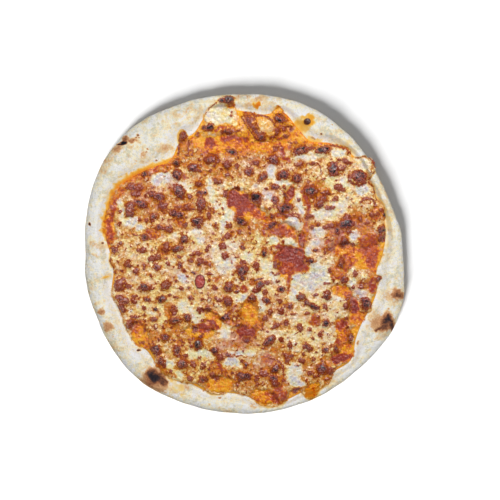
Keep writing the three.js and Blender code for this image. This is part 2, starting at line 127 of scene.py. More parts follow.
# The middle of the band of oil that parts the upper island of cheese from the main one.
OIL_CHANNEL = [(-57, 121), (-46, 114), (-20, 110), (10, 108), (34, 109), (45, 114), (58, 125)]
CHANNEL_DEPTH = 4.0

# Bubbles in the rim: middle, radius and height.
RIM_BUBBLES = [
    (-89, -126, 16, 3.6), (140, -70, 15, 3.6), (152, -41, 8, 2.0), (-117, 113, 11, 2.2),
    (-101, 98, 9, 1.4), (-80, 106, 9, 1.2), (-148, 4, 11, 1.8), (-144, -57, 8, 1.6),
    (-136, -73, 10, 1.8), (-60, 135, 14, 1.6),
]

# Large swellings in the cheese: middle, radius and height.
SWELLINGS = [
    (-16, 153, 9, 3.4), (22, 128, 14, 4.5), (8, 130, 8, 3.2), (33, 134, 8, 2.6), (-34, 127, 8, 2.4),
    (-33, 94, 8, 2.8), (-52, 86, 8, 2.4), (-62, 117, 7, 2.8), (-68, 92, 6, 2.4), (-18, 89, 6, 2.4),
    (-67, 79, 8, 2.2), (-66, 62, 9, 2.4), (-46, 70, 7, 2.2), (-87, 58, 10, 2.2), (-104, 51, 9, 2.2),
    (-115, 46, 8, 2.2), (-67, 39, 8, 2.4), (-46, 33, 8, 2.4), (-44, 49, 8, 2.4), (-61, 15, 7, 2.4),
    (-67, 6, 8, 2.2), (-4, 33, 8, 2.2), (11, 57, 8, 2.4), (40, 46, 10, 2.6), (21, 46, 9, 2.6),
    (48, 32, 10, 3.0), (66, 62, 9, 2.6), (76, 51, 7, 2.4), (38, 79, 8, 2.4), (52, 76, 8, 2.4),
    (29, 94, 7, 2.2), (53, 103, 9, 2.6), (77, 104, 9, 2.6), (87, 84, 9, 2.8), (114, 77, 10, 3.0),
    (120, 50, 11, 2.8), (100, 30, 9, 2.4), (99, 12, 7, 2.2), (137, 22, 8, 2.4), (118, -22, 10, 2.8),
    (121, -51, 8, 2.8), (101, -52, 7, 2.6), (82, -41, 7, 2.6), (66, -7, 6, 2.2), (56, -43, 7, 2.6),
    (68, -52, 8, 2.2), (81, -69, 6, 2.8), (77, -114, 8, 2.6), (63, -93, 6, 2.2), (19, 1, 6, 2.8),
    (-3, -18, 8, 2.4), (-16, -33, 7, 2.6), (-17, -48, 6, 2.4), (-9, -57, 10, 2.4), (15, -30, 7, 2.4),
    (24, -87, 9, 2.2), (30, -114, 8, 2.6), (34, -141, 12, 3.4), (32, -127, 8, 2.6), (-2, -121, 7, 2.2),
    (-47, -90, 7, 2.8), (-29, -96, 6, 2.2), (-62, -110, 8, 2.4), (-70, -66, 8, 2.2),
    (-58, -63, 6, 2.4), (-79, -31, 8, 2.4), (-82, -45, 7, 2.2), (-101, -33, 8, 2.4),
    (-126, -31, 8, 2.4), (-123, -49, 10, 2.2), (-116, -70, 7, 2.4), (-116, -11, 7, 2.2),
    (-89, -95, 8, 2.4), (-84, -106, 7, 2.2), (-80, -83, 6, 2.4),
]

# Browned spots in the cheese: middle, half sizes, turn in degrees, and how burnt, from 0 to 1.
SPOTS = [
    # beyond the orange band
    (-16, 154, 6, 4, 0, 1.0), (-23, 153, 3, 2.5, 0, 0.95), (-13, 142, 1.5, 1.2, 0, 0.6),
    (-14, 138, 1.2, 1.2, 0, 0.6), (-35, 127, 4, 4, 0, 0.95), (-41, 126, 2.5, 2.5, 0, 0.9),
    (-18, 122, 5, 2.5, 0, 0.8), (-48, 119, 1.5, 2, 0, 0.85), (-62, 118, 5, 4, 0, 0.72),
    (-13, 102, 5, 2.3, -12, 1.0), (16.5, 116.5, 3.6, 3.4, 0, 0.84), (32, 122, 2.5, 4, 0, 0.68),
    (31, 135, 3, 3, 0, 0.85), (36, 134, 5, 3, 0, 0.85), (34, 139, 2.5, 1.2, 0, 1.0),
    (39, 125, 3, 3, 0, 0.6), (46, 125, 1.5, 1.5, 0, 1.0), (43, 127, 2, 1.5, 0, 0.6),
    (41, 118, 2, 2, 0, 0.65), (51, 111, 1.5, 1.5, 0, 0.75), (46, 111, 2, 1.6, 0, 0.6),
    # the upper row, left
    (-35, 94, 7, 4.5, 0, 0.74), (-68, 91, 3.5, 3.5, 0, 0.95), (-52, 86, 6, 4.5, 0, 0.86),
    (-45, 83, 2.5, 1.5, -20, 0.7), (-18, 89, 4, 4.5, 0, 0.76), (-8, 88, 3, 3, 0, 0.6),
    (-101, 80, 3, 3, 0, 0.8), (-68, 79, 6, 5, -50, 0.86), (-29, 73, 3, 3, 0, 0.62),
    (-26, 72, 3, 3, 0, 0.6), (-18, 79, 3, 2.5, 0, 0.6), (-8, 66, 4, 2.5, 0, 0.5),
    (-46, 70, 3, 3, 0, 0.8), (-66, 63, 8, 5.5, -50, 0.84), (-55, 58, 3, 3, 0, 0.72),
    (-45, 61.5, 4, 2.5, 0, 0.82), (-40, 61, 2, 2, 0, 1.0), (-19.5, 60, 2.5, 4, 0, 0.7),
    (-44, 50, 5, 8, 0, 0.8), (-28, 52.5, 1, 1, 0, 0.6), (-25, 49.5, 1, 1, 0, 0.6),
    (-52, 44.5, 1.5, 1.5, 0, 1.0), (-66, 46.5, 4, 2, 0, 0.6), (-58, 46, 5, 4, 0, 0.45),
    (-65, 39, 4, 4, 0, 0.86), (-71, 41, 4, 4, 0, 0.86), (-36, 38, 3, 4, 0, 0.66),
    (-47, 33, 5, 6, -45, 0.86), (-46, 27, 3, 2, 0, 0.66), (-18.5, 32, 1, 1, 0, 0.7),
    (-29, 31, 1.5, 1.5, 0, 0.7), (-29, 28, 3, 3, 0, 0.4), (-16, 29, 3, 4, 0, 0.42),
    (-5, 33, 6, 4, -35, 0.93), (-59, 29, 3, 3, 0, 0.7), (-76, 25, 5, 4, 0, 0.74),
    (-113, 67, 4, 4, 0, 0.72), (-118, 66, 2, 2, 0, 0.66), (-106, 66, 5, 4, 0, 0.64),
    (-109, 60, 5, 3, 0, 0.62), (-93, 60, 4, 3.5, 0, 0.76), (-85, 57, 6, 5, 0, 0.84),
    (-104, 50, 8, 4, -25, 0.82), (-115, 46, 5, 7, 0, 0.76), (-115, 40, 5, 3, 0, 0.74),
    (-82, 48, 5, 5, 0, 0.74), (-91, 38, 4, 3, 0, 0.72), (-93, 34, 2, 4, 0, 0.66),
    (-105, 34, 2, 2, 0, 0.55), (-98, 33.5, 2.5, 2.5, 0, 0.66), (-86, 27, 3.5, 3, 0, 0.8),
    (-82, 26, 2.5, 2.5, 0, 0.7), (-125, 30, 3, 3, 0, 0.42), (-100, 16, 4, 4, 0, 0.84),
    (-124, 11, 2, 2, 0, 0.66), (-127, 9, 1.5, 1.5, 0, 0.6), (-130, 4, 4, 4, 0, 0.74),
    # the upper row, middle and right
    (11, 91, 4, 3, 0, 0.76), (28, 94, 6, 5, 0, 0.82), (31, 105, 3, 3, 0, 0.7), (54, 89, 4, 3, 0, 0.7),
    (67, 90, 4, 2, 0, 0.55), (61, 84, 2, 2, 0, 0.6), (4, 82, 4, 4, 0, 0.82), (17, 76, 4, 6, -55, 0.82),
    (21, 79, 2, 2, 0, 0.7), (38, 79, 6, 5, 0, 0.84), (52, 76, 5, 5, 0, 0.82), (63, 72, 2, 2, 0, 0.66),
    (30, 67, 5, 3, -20, 0.8), (39, 66, 2.5, 2, 0, 0.45), (21, 65, 2.5, 2, 0, 0.56),
    (55, 103, 8, 4.5, 20, 0.82), (66, 106, 3, 2, 0, 0.6), (77, 104, 9, 3.5, 10, 0.97),
    (102, 92, 6, 3, -35, 0.52), (94, 94, 2.5, 2.5, 0, 0.5), (88, 85, 5.5, 8, 0, 0.93),
    (97, 86, 5, 4, 0, 0.4), (93, 80, 3, 2, 0, 0.5), (114, 78, 8, 7, 0, 0.84), (104, 74, 2, 3, 0, 0.66),
    (11, 57, 6, 5, 0, 1.0), (30, 54, 4, 4.5, 0, 0.84), (28.5, 48, 1, 1, 0, 0.9),
    (40, 59, 3, 1.5, -40, 0.86), (54, 54, 2, 2, 0, 0.82), (66, 63, 7, 6, 0, 0.93),
    (75, 50, 4, 4, 0, 0.74), (78, 55, 4, 3.5, 0, 0.7), (90, 55, 3, 3, 0, 0.66), (85, 46, 5, 3, 0, 0.7),
    (94, 66, 6, 4, -20, 0.56), (99, 64, 1.5, 1.5, 0, 1.0), (80, 61, 5, 3, 0, 0.5),
    (40, 46, 9, 4, 10, 0.9), (38, 43, 2, 2, 0, 1.0), (27, 38, 2.5, 2.5, 0, 0.76),
    (1, 31, 2, 2, 0, 0.76), (27, 29, 3, 6, -55, 0.9), (58, 9, 1.5, 1.5, 0, 0.86),
    (36, 17, 2.5, 1.2, 0, 0.6), (19, 1, 3.5, 4, 0, 0.92), (67, 27, 3, 2.5, 0, 0.6),
    (73, 29, 2, 2, 0, 0.56), (80, 27, 3, 2, 0, 0.66), (86, 28, 4, 3, 30, 0.7), (70, 4, 3, 2, 0, 0.76),
    (80, 2, 2, 2, 0, 0.66), (85, 5, 4, 2, 0, 0.76), (65, 38, 4, 3, 0, 0.66), (62, 36, 2, 2, 0, 0.66),
    (102, 37, 5, 3, 0, 0.6), (101, 30, 9, 5, 0, 0.97), (92, 23, 3, 4, 0, 0.95), (104, 22, 3, 2, 0, 0.7),
    (115, 35.5, 3, 2.5, 0, 0.7), (127, 40, 3, 3, 0, 0.62), (132, 40, 3, 2.5, 0, 0.45),
    (99, 12, 4, 5, -20, 0.76), (108, 10, 2.5, 2, 0, 0.66), (137, 24, 5, 4, 0, 0.86),
    (142, 24, 2, 3, 0, 1.0), (137, 16, 5, 4, 0, 0.72), (139.5, 39, 1.8, 2.8, 0, 0.97),
    # right of the middle, going down
    (30, -11, 3, 4, 0, 0.74), (34, -10, 2, 2, 0, 0.6), (11, -12, 4, 5, 0, 0.56), (33, -27, 3, 2, 0, 0.5),
    (15, -31, 4, 4, 0, 0.82), (22, -29, 2.5, 4, -70, 0.72), (11, -36, 5, 3, 0, 0.5),
    (20, -38, 2.5, 3, 0, 0.62), (7, -44, 4, 4, 0, 0.84), (36, -35, 4, 3, 0, 0.92),
    (66, -7, 4, 3, 0, 0.84), (62, -7, 2, 2, 0, 0.82), (70, -41, 3.5, 1.5, 0, 0.72),
    (56, -43, 5, 3.5, 0, 0.8), (68.5, -52, 8, 2.8, -32, 0.92), (62, -49, 4, 3, 0, 0.9),
    (62, -59, 3, 2, 0, 0.66), (65, -76, 2, 2.5, 0, 0.66), (75, -80, 2.5, 3, 0, 0.62),
    (78, -77, 1, 1, 0, 0.9), (22, -46, 5, 3.5, -35, 0.84), (35, -47, 3, 3, 0, 0.5),
    (25, -58, 3, 3.5, 0, 0.62), (36, -57, 4, 4, 0, 0.5), (45, -52, 2.5, 3, 0, 0.74),
    (40, -52, 2, 2, 0, 0.66), (48, -60, 3, 1.5, 0, 0.6), (19.5, -64, 3.2, 3.2, 0, 0.66),
    (32, -71, 3.5, 3, 0, 0.72), (41, -69, 3, 3.5, 0, 0.74), (28, -74, 2, 2, 0, 0.6),
    (55, -73, 4, 3.5, 0, 0.68), (82, -41, 4.5, 5.5, 0, 0.78), (85, -17, 3, 2, -50, 0.6),
    (84, -29, 2, 1.5, 0, 0.7), (80, -29, 2, 2, 0, 0.6), (80, -53, 3, 3, 0, 0.7),
    (81, -69, 4, 3.5, 0, 1.0), (88, -69, 1, 1, 0, 0.9), (110, -20, 3, 4, 0, 0.55),
    (97, -7, 3, 5, 0, 0.66), (96, -11, 3, 3, 0, 0.76), (99, -26, 4, 4, 0, 0.76),
    (108, -33, 3, 2.5, 0, 0.62), (116, -33, 3, 2.5, 0, 0.62), (134, -25, 3.5, 4, 0, 0.74),
    (121, -51, 5, 6, 0, 0.86), (119, -46, 4, 3, 0, 0.86), (101, -52, 3, 4, 0, 0.72),
    (62, -93, 5, 3.5, -35, 0.74), (68, -84, 1.8, 1.8, 0, 0.6), (51, -90, 1.5, 2.5, 0, 0.5),
    (68, -105, 3, 3, 0, 0.42), (78, -90, 1, 1, 0, 1.0), (81, -96, 3.5, 3, 0, 0.86),
    (86, -92, 1, 1, 0, 0.9), (89, -82, 1, 1, 0, 0.6), (77, -114, 5, 6, 0, 0.86),
    (66, -119, 4, 2.5, 0, 0.56), (70, -122, 2, 2, 0, 0.56), (74, -121, 2, 2, 0, 0.6),
    (85, -117, 4, 4, 0, 0.5), (84, -125, 2, 1.5, 0, 0.56), (80, -125, 1.5, 1.5, 0, 0.5),
    (106, -83, 3, 5, 0, 0.74), (91, -95, 3, 4, 0, 0.7),
    # left of the middle
    (-20, -2.5, 4, 3.5, 0, 0.56), (-9, -3, 2.5, 1.5, 0, 0.5), (-13, -9, 1.5, 1.5, 0, 0.5),
    (-22, 8, 4, 4, 0, 0.62), (-17, 17.5, 3.5, 3.5, 0, 0.64), (-2, 7, 2.5, 3, 0, 0.76),
    (-5, 22, 2.5, 2.5, 0, 0.7), (-38, 4.5, 2, 3, 0, 0.6), (-36, 8, 2, 2, 0, 0.62),
    (-61, 15, 4.5, 4.5, 0, 0.82), (-66, 6, 6, 4, 0, 0.84), (-71, 5, 2.5, 3, 0, 0.76),
    (-78, 8, 4, 4, 0, 0.54), (-79, 4, 4, 3, 0, 0.54), (-56, 6.5, 1.2, 1.2, 0, 0.7),
    (-46, 1, 5, 2, 0, 0.6), (-44, -7, 4, 4, 0, 0.62), (-46, -10, 2.5, 2, 0, 0.86),
    (-54, -6, 2.5, 3, 0, 0.7), (-53, -1, 3, 2, 0, 0.5), (-47, -12, 2, 1, 0, 0.7),
    (-39, -9, 2.5, 2.5, 0, 0.45), (-35, -11, 2, 2, 0, 0.6), (-52, -19, 3, 1.2, -35, 1.0),
    (-35, -20, 4, 1.5, 0, 0.55), (-36, -26, 1.5, 2.5, 0, 0.72), (-30, -33.5, 3.5, 2.5, -30, 0.64),
    (-16, -33, 5, 6, 0, 0.78), (-17, -48, 4, 5, 0, 0.82), (-4, -17, 5, 6, 0, 0.84),
    (-3, -24, 2.5, 2.5, 0, 1.0), (-2, -8, 4, 2.5, 0, 0.66), (1, -15, 3, 4, 0, 0.7),
    (-8, -32, 1.5, 1.5, 0, 0.66), (-8, -37, 3, 2, 30, 0.82), (-29, -44, 2.5, 2.5, 0, 0.7),
    (-26, -46, 3, 2, 0, 0.62), (-21, -44, 2, 2, 0, 0.6), (-54, -44, 3, 2.5, 0, 0.72),
    (-53, -49, 1.2, 1.2, 0, 0.7), (-69, -42.5, 4, 1.5, 0, 0.62), (-42, -45, 2.5, 2, 0, 0.4),
    (-64, -35, 3, 3, 0, 0.5), (-56, -34, 2, 2, 0, 0.56), (-66, -3, 3, 2, 0, 0.62),
    (-77, -10, 2, 3, 0, 0.56), (-65, -11, 3, 4, 0, 0.7), (-60, -16, 2, 2, 0, 0.56),
    (-87, -3, 4, 4, 0, 0.66), (-93, -5, 4, 4, 0, 0.6), (-88, -13, 4, 3, 0, 0.8),
    (-79, -31, 6, 6, 0, 0.72), (-83, -45, 5, 4, 0, 0.88), (-103, 4, 5, 3, 0, 0.62),
    (-116, -11, 4, 3, 0, 0.76), (-116, -7, 3, 2, 0, 0.56), (-109, -17, 3, 3.5, 0, 0.72),
    (-107, -11, 1.5, 1.5, 0, 0.6), (-101, -13, 2, 4, 0, 0.66), (-97, -12, 1, 1, 0, 0.6),
    (-94, -22, 2, 3, 0, 0.56), (-101, -33, 6, 4, 0, 0.88), (-94, -34, 4, 3, 0, 0.5),
    (-126, -31, 5, 5, 0, 0.72), (-117, -31, 2.5, 5, 60, 0.66), (-122, -25, 3, 2, 0, 0.64),
    (-123, -17, 2, 2, 0, 0.6), (-130, -19, 1.5, 1.5, 0, 0.76), (-126, -43, 4, 3, 0, 0.76),
    (-121, -47, 5, 5, 0, 0.74), (-123, -53, 4, 4, 0, 0.72), (-121, -57, 3, 2, 0, 0.66),
    (-110, -42, 3, 2, 0, 0.66), (-111, -47, 4, 3, 0, 0.6), (-106, -44, 1.5, 1.5, 0, 0.6),
    (-97, -46, 2.5, 4, 60, 0.84), (-101, -54, 2.5, 3, 0, 0.55), (-89, -55, 3, 2, 0, 0.9),
    (-91, -65, 4, 3, 0, 0.74), (-110, -63, 5, 2, 0, 0.7), (-116, -70, 4, 5, 0, 0.76),
    (-110, -68, 2, 2, 0, 0.56), (-103, -89, 2, 1, 0, 0.86), (-100, -77, 2, 2, 0, 0.6),
    (-82, -73, 2, 2, 0, 0.5), (-71, -56, 4, 6, 0, 0.5), (-70, -66, 6, 4, 0, 0.8),
    (-58, -63, 4, 4.5, 0, 0.82), (-45, -56, 4, 4, 0, 0.5), (-40, -55, 2, 2, 0, 0.5),
    (-37, -55, 3, 4, 0, 0.76), (-22, -64, 3, 2.2, 0, 1.0), (-18, -62, 3, 3, 0, 0.86),
    (-50, -75, 3, 3, 0, 0.8), (-8, -57, 1, 1, 0, 0.82), (-6, -61, 1, 1, 0, 0.82),
    (-7, -71, 2.5, 2, 0, 0.72),
    # the bottom
    (-80, -83, 4, 3.5, 0, 0.86), (-89, -94, 5, 4, 0, 0.92), (-88, -99, 4, 3, 0, 0.7),
    (-84, -106, 4, 4, 0, 0.82), (-81, -111, 3, 3, 0, 0.45), (-47, -90, 4, 5.5, 0, 1.0),
    (-44, -83, 1.2, 3, -30, 0.86), (-54, -92.5, 2.5, 2, 0, 0.6), (-54.5, -88, 1.2, 1.2, 0, 0.9),
    (-56, -85, 1, 1, 0, 0.8), (-62, -78.5, 1.3, 1.3, 0, 0.8), (-68, -96, 4, 5, 0, 0.84),
    (-66, -102, 3, 2.5, 0, 0.6), (-59, -101, 2.5, 2.5, 0, 0.56), (-62, -110, 6, 5, 0, 0.78),
    (-52, -110, 3.5, 4, 0, 0.55), (-45, -104, 2.5, 2, 0, 0.4), (-30, -96, 4.5, 4, 0, 0.92),
    (-25, -103, 4, 4, 0, 0.56), (-17, -101, 3.5, 1.8, -25, 0.82), (-3, -107, 2, 2, 0, 0.5),
    (1, -111, 2, 2.5, 0, 1.0), (-42, -112, 4, 4, 0, 0.42), (-36, -115, 2, 2, 0, 0.5),
    (-55, -124, 3, 3.5, 0, 0.62), (-42, -125, 5, 4, 0, 0.74), (-32, -121, 3, 3, 0, 0.66),
    (-28, -125, 3, 2, 0, 0.62), (-12, -119, 1.2, 1.2, 0, 1.0), (-4, -121, 5, 4, 0, 0.82),
    (1, -122, 6, 4, 0, 0.82), (-5, -126, 2.5, 2.5, 0, 0.7), (-8, -131, 1.5, 1.5, 0, 0.7),
    (2, -86, 4, 3, 0, 0.82), (24, -87, 8, 4, 35, 0.82), (36, -86, 4, 3, 0, 0.5), (45, -91, 3, 5, 0, 0.5),
    (41, -101, 3, 2.5, 0, 0.74), (47, -101, 3, 2.5, 0, 0.72), (43, -106, 3, 3.5, 0, 0.7),
    (30, -114, 4, 5, -45, 0.86), (19, -120, 5, 3.5, 0, 0.66), (12, -124, 3, 3, 0, 0.5),
    (29, -124, 5, 3, 0, 0.86), (31, -129, 5, 4, 0, 0.56), (51, -136, 4, 2.5, 25, 0.72),
    (57, -107, 4, 3, -35, 0.55), (58, -100, 2, 2.5, 0, 0.5), (53, -111, 3, 1.5, 0, 0.4),
]

# Colour of the cheese or sauce in an area, painted in this order: middle, half sizes, turn, tone.
# The tone runs from 0 bluish white, 0.1 white, 0.24 cream, 0.44 golden, 0.6 orange and
# 0.7 red-orange to 0.85 red and 1 maroon.
TONES = [
    # broad grounds
    (-75, 0, 75, 110, 0, 0.31), (60, 40, 75, 80, 0, 0.31), (60, -50, 60, 45, 0, 0.24),
    (-40, -100, 60, 35, 0, 0.37), (-95, 45, 38, 40, 0, 0.38), (0, 90, 70, 18, 0, 0.36),
    (40, 20, 60, 22, 0, 0.36), (-100, -30, 30, 50, 0, 0.31), (40, -125, 50, 25, 0, 0.42),
    (28, -60, 26, 24, 0, 0.36), (20, 84, 40, 14, 0, 0.37),
    # the orange band and what lies beyond it
    (8, 109, 52, 10, 3, 0.6), (15, 124, 34, 14, 0, 0.6), (50, 122, 10, 13, -30, 0.57),
    (-25, 144, 19, 17, 0, 0.17), (-32, 139, 7, 6, 0, 0.1), (-17, 133, 4, 3, 0, 0.1),
    (-14, 148, 6, 3, 0, 0.6), (-20, 124, 14, 5, 5, 0.62), (-36, 112, 7, 5, 0, 0.84),
    (-18, 116, 8, 3, 5, 0.8), (-2, 114, 6, 3, 0, 0.78), (-40, 104, 8, 6, 0, 0.66),
    (-47, 112, 7, 8, 0, 0.5), (-52, 112, 3, 5, 0, 0.6), (-61, 106, 6, 13, -8, 0.6),
    (3, 140, 6, 4, 0, 0.68), (21, 128, 11, 12, 0, 0.46), (21, 129, 6, 8, 0, 0.41),
    (35, 142, 7, 7, -40, 0.56), (40, 138, 4, 9, -20, 0.6), (52, 122, 6, 7, 0, 0.54),
    (9, 96, 40, 7, 0, 0.42),
    # the red and orange rim of the topping at the left
    (-62, 96, 12, 10, 0, 0.5), (-50, 96, 10, 8, 0, 0.48), (-35, 84, 20, 8, 0, 0.47),
    (-105, 66, 14, 8, 20, 0.5), (-88, 50, 14, 10, 0, 0.49), (-66, 55, 14, 12, -30, 0.46),
    (-84, 76, 10, 6, 12, 0.08), (-68, 70, 10, 4, -20, 0.14), (-59, 66, 5, 3, 0, 0.14),
    (-62, 78, 4, 3, 0, 0.74), (-58, 46, 6, 5, 0, 0.56), (-65, 32, 7, 5, -40, 0.7),
    (-92, 21, 7, 6, 0, 0.68), (-116, 22, 6, 6, 0, 0.46), (-113, 32, 7, 6, 0, 0.08),
    (-105, 25, 4, 4, 0, 0.12), (-56, 54, 4, 3, 0, 0.4), (-46, 70, 6, 6, 0, 0.55),
    (-78, 6, 9, 5, 20, 0.7), (-50, 22, 7, 4, 0, 0.14), (-44, 14, 4, 6, 0, 0.12),
    (-71, 18, 5, 3, 0, 0.14), (-45, 56, 8, 3, 0, 0.3), (-34, 46, 6, 5, 0, 0.45),
    (-16, 29, 3, 5, 0, 0.5), (-10, 21, 4, 4, 0, 0.56), (-22, 38, 4, 6, 0, 0.42),
    # the red middle
    (-3, 50, 15, 12, -20, 0.87), (-12, 60, 6, 4, 0, 0.84), (8, 46, 5, 6, 0, 0.74),
    (14, 40, 7, 5, -35, 0.72), (22, 36, 6, 3, 0, 0.72), (21, 46, 7, 6, 0, 0.3), (21, 46, 3, 3, 0, 0.5),
    (38, 38, 10, 4, 0, 0.82), (45, 59, 4, 8, -25, 0.82), (60, 55, 3, 8, 10, 0.76),
    (10, 26, 14, 9, -20, 0.5), (13, 15, 4, 8, 0, 0.22), (28, 26, 12, 5, -40, 0.78),
    (40, 22, 12, 5, -30, 0.76), (47, 25, 5, 4, 0, 0.66), (57, 15, 4, 6, 0, 0.9),
    (46, -4, 17, 13, -15, 0.93), (50, 5, 8, 5, 0, 0.92), (41, -14, 8, 6, 0, 0.78),
    (45, -22, 3, 8, 0, 0.74), (43, -32, 2, 8, 0, 0.76), (60, -15, 5, 4, -30, 0.86),
    (32, 8, 5, 2, 0, 0.87), (37, 4, 2.5, 2, 0, 0.79), (54, 0, 2.5, 2, 0, 0.8),
    # the right
    (60, 24, 4, 9, 0, 0.66), (83, 12, 5, 3, 30, 0.7), (90, 7, 6, 3, -20, 0.74), (79, 6, 3, 2, 0, 0.6),
    (70, 28, 7, 4, 0, 0.5), (93, 17, 5, 4, 0, 0.72), (73, 16, 2.5, 2, 0, 0.5), (85, 20, 4, 2, 20, 0.6),
    (66, 62, 12, 10, 0, 0.52), (78, 62, 8, 8, 0, 0.52), (104, 28, 22, 10, 0, 0.62),
    (122, 40, 14, 12, 0, 0.55), (120, 46, 8, 5, 0, 0.36), (117, 24, 8, 6, 0, 0.6),
    (124, 14, 10, 9, 0, 0.72), (94, 8, 9, 10, 0, 0.66), (104, 3, 18, 9, -5, 0.66),
    (125, 0, 10, 16, 8, 0.78), (103, -7, 7, 6, 0, 0.72), (100, 5, 6, 4, 0, 0.55),
    (115, -5, 7, 7, 0, 0.57), (92, -22, 7, 4, 0, 0.74), (95, -14, 8, 8, 0, 0.62),
    (118, -22, 8, 6, 0, 0.34), (122, -26, 9, 10, 0, 0.56), (118, -21, 6, 4, 0, 0.3),
    (97, -37, 9, 6, -15, 0.64), (105, -41, 5, 4, 0, 0.74), (128, -32, 4, 8, 0, 0.86),
    (114, -41, 6, 5, 0, 0.06), (109, -52, 5, 10, 0, 0.92), (113, -64, 9, 7, 0, 0.64),
    (98, -71, 8, 6, 0, 0.78), (99, -84, 8, 10, 0, 0.68), (97, -103, 12, 6, 15, 0.91),
    (103, -94, 6, 6, 0, 0.64), (92, -92, 3, 8, 0, 0.86), (92, -52, 8, 7, 0, 0.24),
    (105, -97, 4, 3, 0, 0.48), (70, -34, 4, 3, 0, 0.6), (70, -66, 5, 6, 0, 0.82),
    # whites at the right
    (118, 90, 6, 5, 0, 0.1), (114, 93, 4, 3, 0, 0.12), (119, 86, 3, 3, 0, 0.14), (94, 101, 7, 4, 0, 0.1),
    (118, 64, 7, 6, 0, 0.04), (26, 82, 4, 8, 0, 0.1), (38, 71, 9, 3, 0, 0.12), (62, 97, 16, 3, 5, 0.14),
    (13, 67, 6, 6, 0, 0.24), (24, 58, 7, 4, -45, 0.06), (75, 39, 9, 6, 0, 0.12), (95, 50, 8, 9, 0, 0.16),
    (86, 40, 8, 6, 0, 0.14), (101, 71, 6, 5, 0, 0.14), (85, 72, 5, 6, 0, 0.14), (56, 46, 3, 9, 15, 0.1),
    (54, 59, 4, 5, 0, 0.2), (73, 22, 8, 6, 0, 0.08), (109, 19, 5, 5, 0, 0.04), (28, 13, 6, 4, 0, 0.1),
    (46, 11, 9, 4, -25, 0.14), (48, 32, 9, 5, -30, 0.08), (63, 2, 3, 5, 0, 0.12), (71, 12, 6, 5, 0, 0.1),
    (4, -3, 7, 5, 0, 0.16), (21, -12, 5, 9, 20, 0.18), (28, -22, 5, 4, 0, 0.1), (55, -25, 8, 7, 0, 0.06),
    (72, -20, 11, 10, 0, 0.06), (66, -32, 9, 5, 0, 0.08), (50, -42, 6, 6, 0, 0.14),
    (17, -52, 4, 6, 0, 0.1), (14, -42, 4, 4, 0, 0.12), (35, -62, 6, 4, 0, 0.24), (50, -65, 6, 6, 0, 0.22),
    (91, -43, 6, 4, 0, 0.14), (78, -60, 5, 4, 0, 0.3), (60, -84, 12, 6, 0, 0.24), (86, -73, 4, 6, 0, 0.22),
    (30, -79, 8, 4, 0, 0.22), (107, -28, 4, 4, 0, 0.06),
    # the middle left
    (-20, -14, 9, 6, 0, 0.08), (-15, -7, 8, 4, 0, 0.14), (-28, 0, 6, 8, 0, 0.18), (-12, 8, 8, 6, 0, 0.2),
    (-62, -24, 4, 5, 0, 0.06), (-28, -25, 4, 3, 0, 0.66), (-38, -9, 4, 3, 0, 0.55),
    (-6, -43, 6, 5, 0, 0.1), (-1, -35, 4, 4, 0, 0.82), (8, -28, 4, 3, 0, 0.8), (-56, -56, 4, 4, 0, 0.2),
    (-62, -53, 6, 7, 0, 0.12), (-49, -63, 4, 8, 30, 0.12), (-93, -56, 6, 5, 0, 0.24),
    (-84, -52, 6, 4, 0, 0.26), (-9, -57, 9, 7, 0, 0.52), (-30, -63, 5, 6, 0, 0.62),
    (-43, -74, 9, 5, 0, 0.8), (-32, -70, 9, 3, -35, 0.86), (-20, -76, 7, 9, 0, 0.16),
    (-48, -82, 15, 4, 0, 0.52), (-62, -80, 6, 4, 0, 0.44), (6, -52, 8, 8, 0, 0.6),
    (4, -62, 10, 10, 0, 0.56), (0, -57, 2, 8, 30, 0.48), (-12, -68, 10, 3, 0, 0.7),
    (1, -79, 10, 8, 0, 0.88), (14, -70, 5, 6, 0, 0.6), (-76, -56, 5, 8, 0, 0.55),
    (-72, -74, 10, 6, 0, 0.5), (-123, -12, 5, 10, 0, 0.42), (-97, -90, 8, 6, 0, 0.58),
    (-105, -78, 8, 10, 0, 0.6), (-106, -70, 7, 4, 0, 0.7), (-105, -86, 8, 7, 0, 0.55),
    (-111, -77, 3, 4, 0, 0.7), (-91, -81, 7, 5, 0, 0.5),
    # the bottom
    (-68, -122, 6, 6, 0, 0.12), (-76, -111, 4, 8, 20, 0.12), (-45, -100, 12, 4, 0, 0.1),
    (-55, -98, 5, 3, 0, 0.16), (-13, -108, 7, 4, 0, 0.04), (-8, -99, 9, 3, 0, 0.1),
    (5, -99, 6, 3, 0, 0.14), (-25, -130, 18, 8, 0, 0.55), (-22, -120, 8, 6, 0, 0.58),
    (-30, -112, 6, 5, 0, 0.6), (-8, -90, 14, 4, 0, 0.55), (-64, -88, 8, 3, 20, 0.55),
    (33, -95, 8, 5, 0, 0.52), (22, -105, 6, 6, 0, 0.72), (32, -104, 5, 4, 0, 0.5), (22, -118, 9, 6, 0, 0.6),
    (18, -143, 12, 7, 0, 0.62), (34, -141, 9, 9, 0, 0.76), (31, -128, 7, 7, 0, 0.68),
    (67, -137, 7, 8, 0, 0.57), (49, -119, 8, 11, 0, 0.12), (52, -128, 7, 4, 0, 0.06),
    (62, -124, 6, 5, 0, 0.4), (80, -112, 8, 9, 0, 0.56), (84, -122, 6, 4, 0, 0.52),
    (5, -118, 10, 8, 0, 0.5), (8, -134, 10, 6, 0, 0.5), (-84, -114, 9, 4, -35, 0.6),
    (-74, -119, 7, 3, -35, 0.52),
]

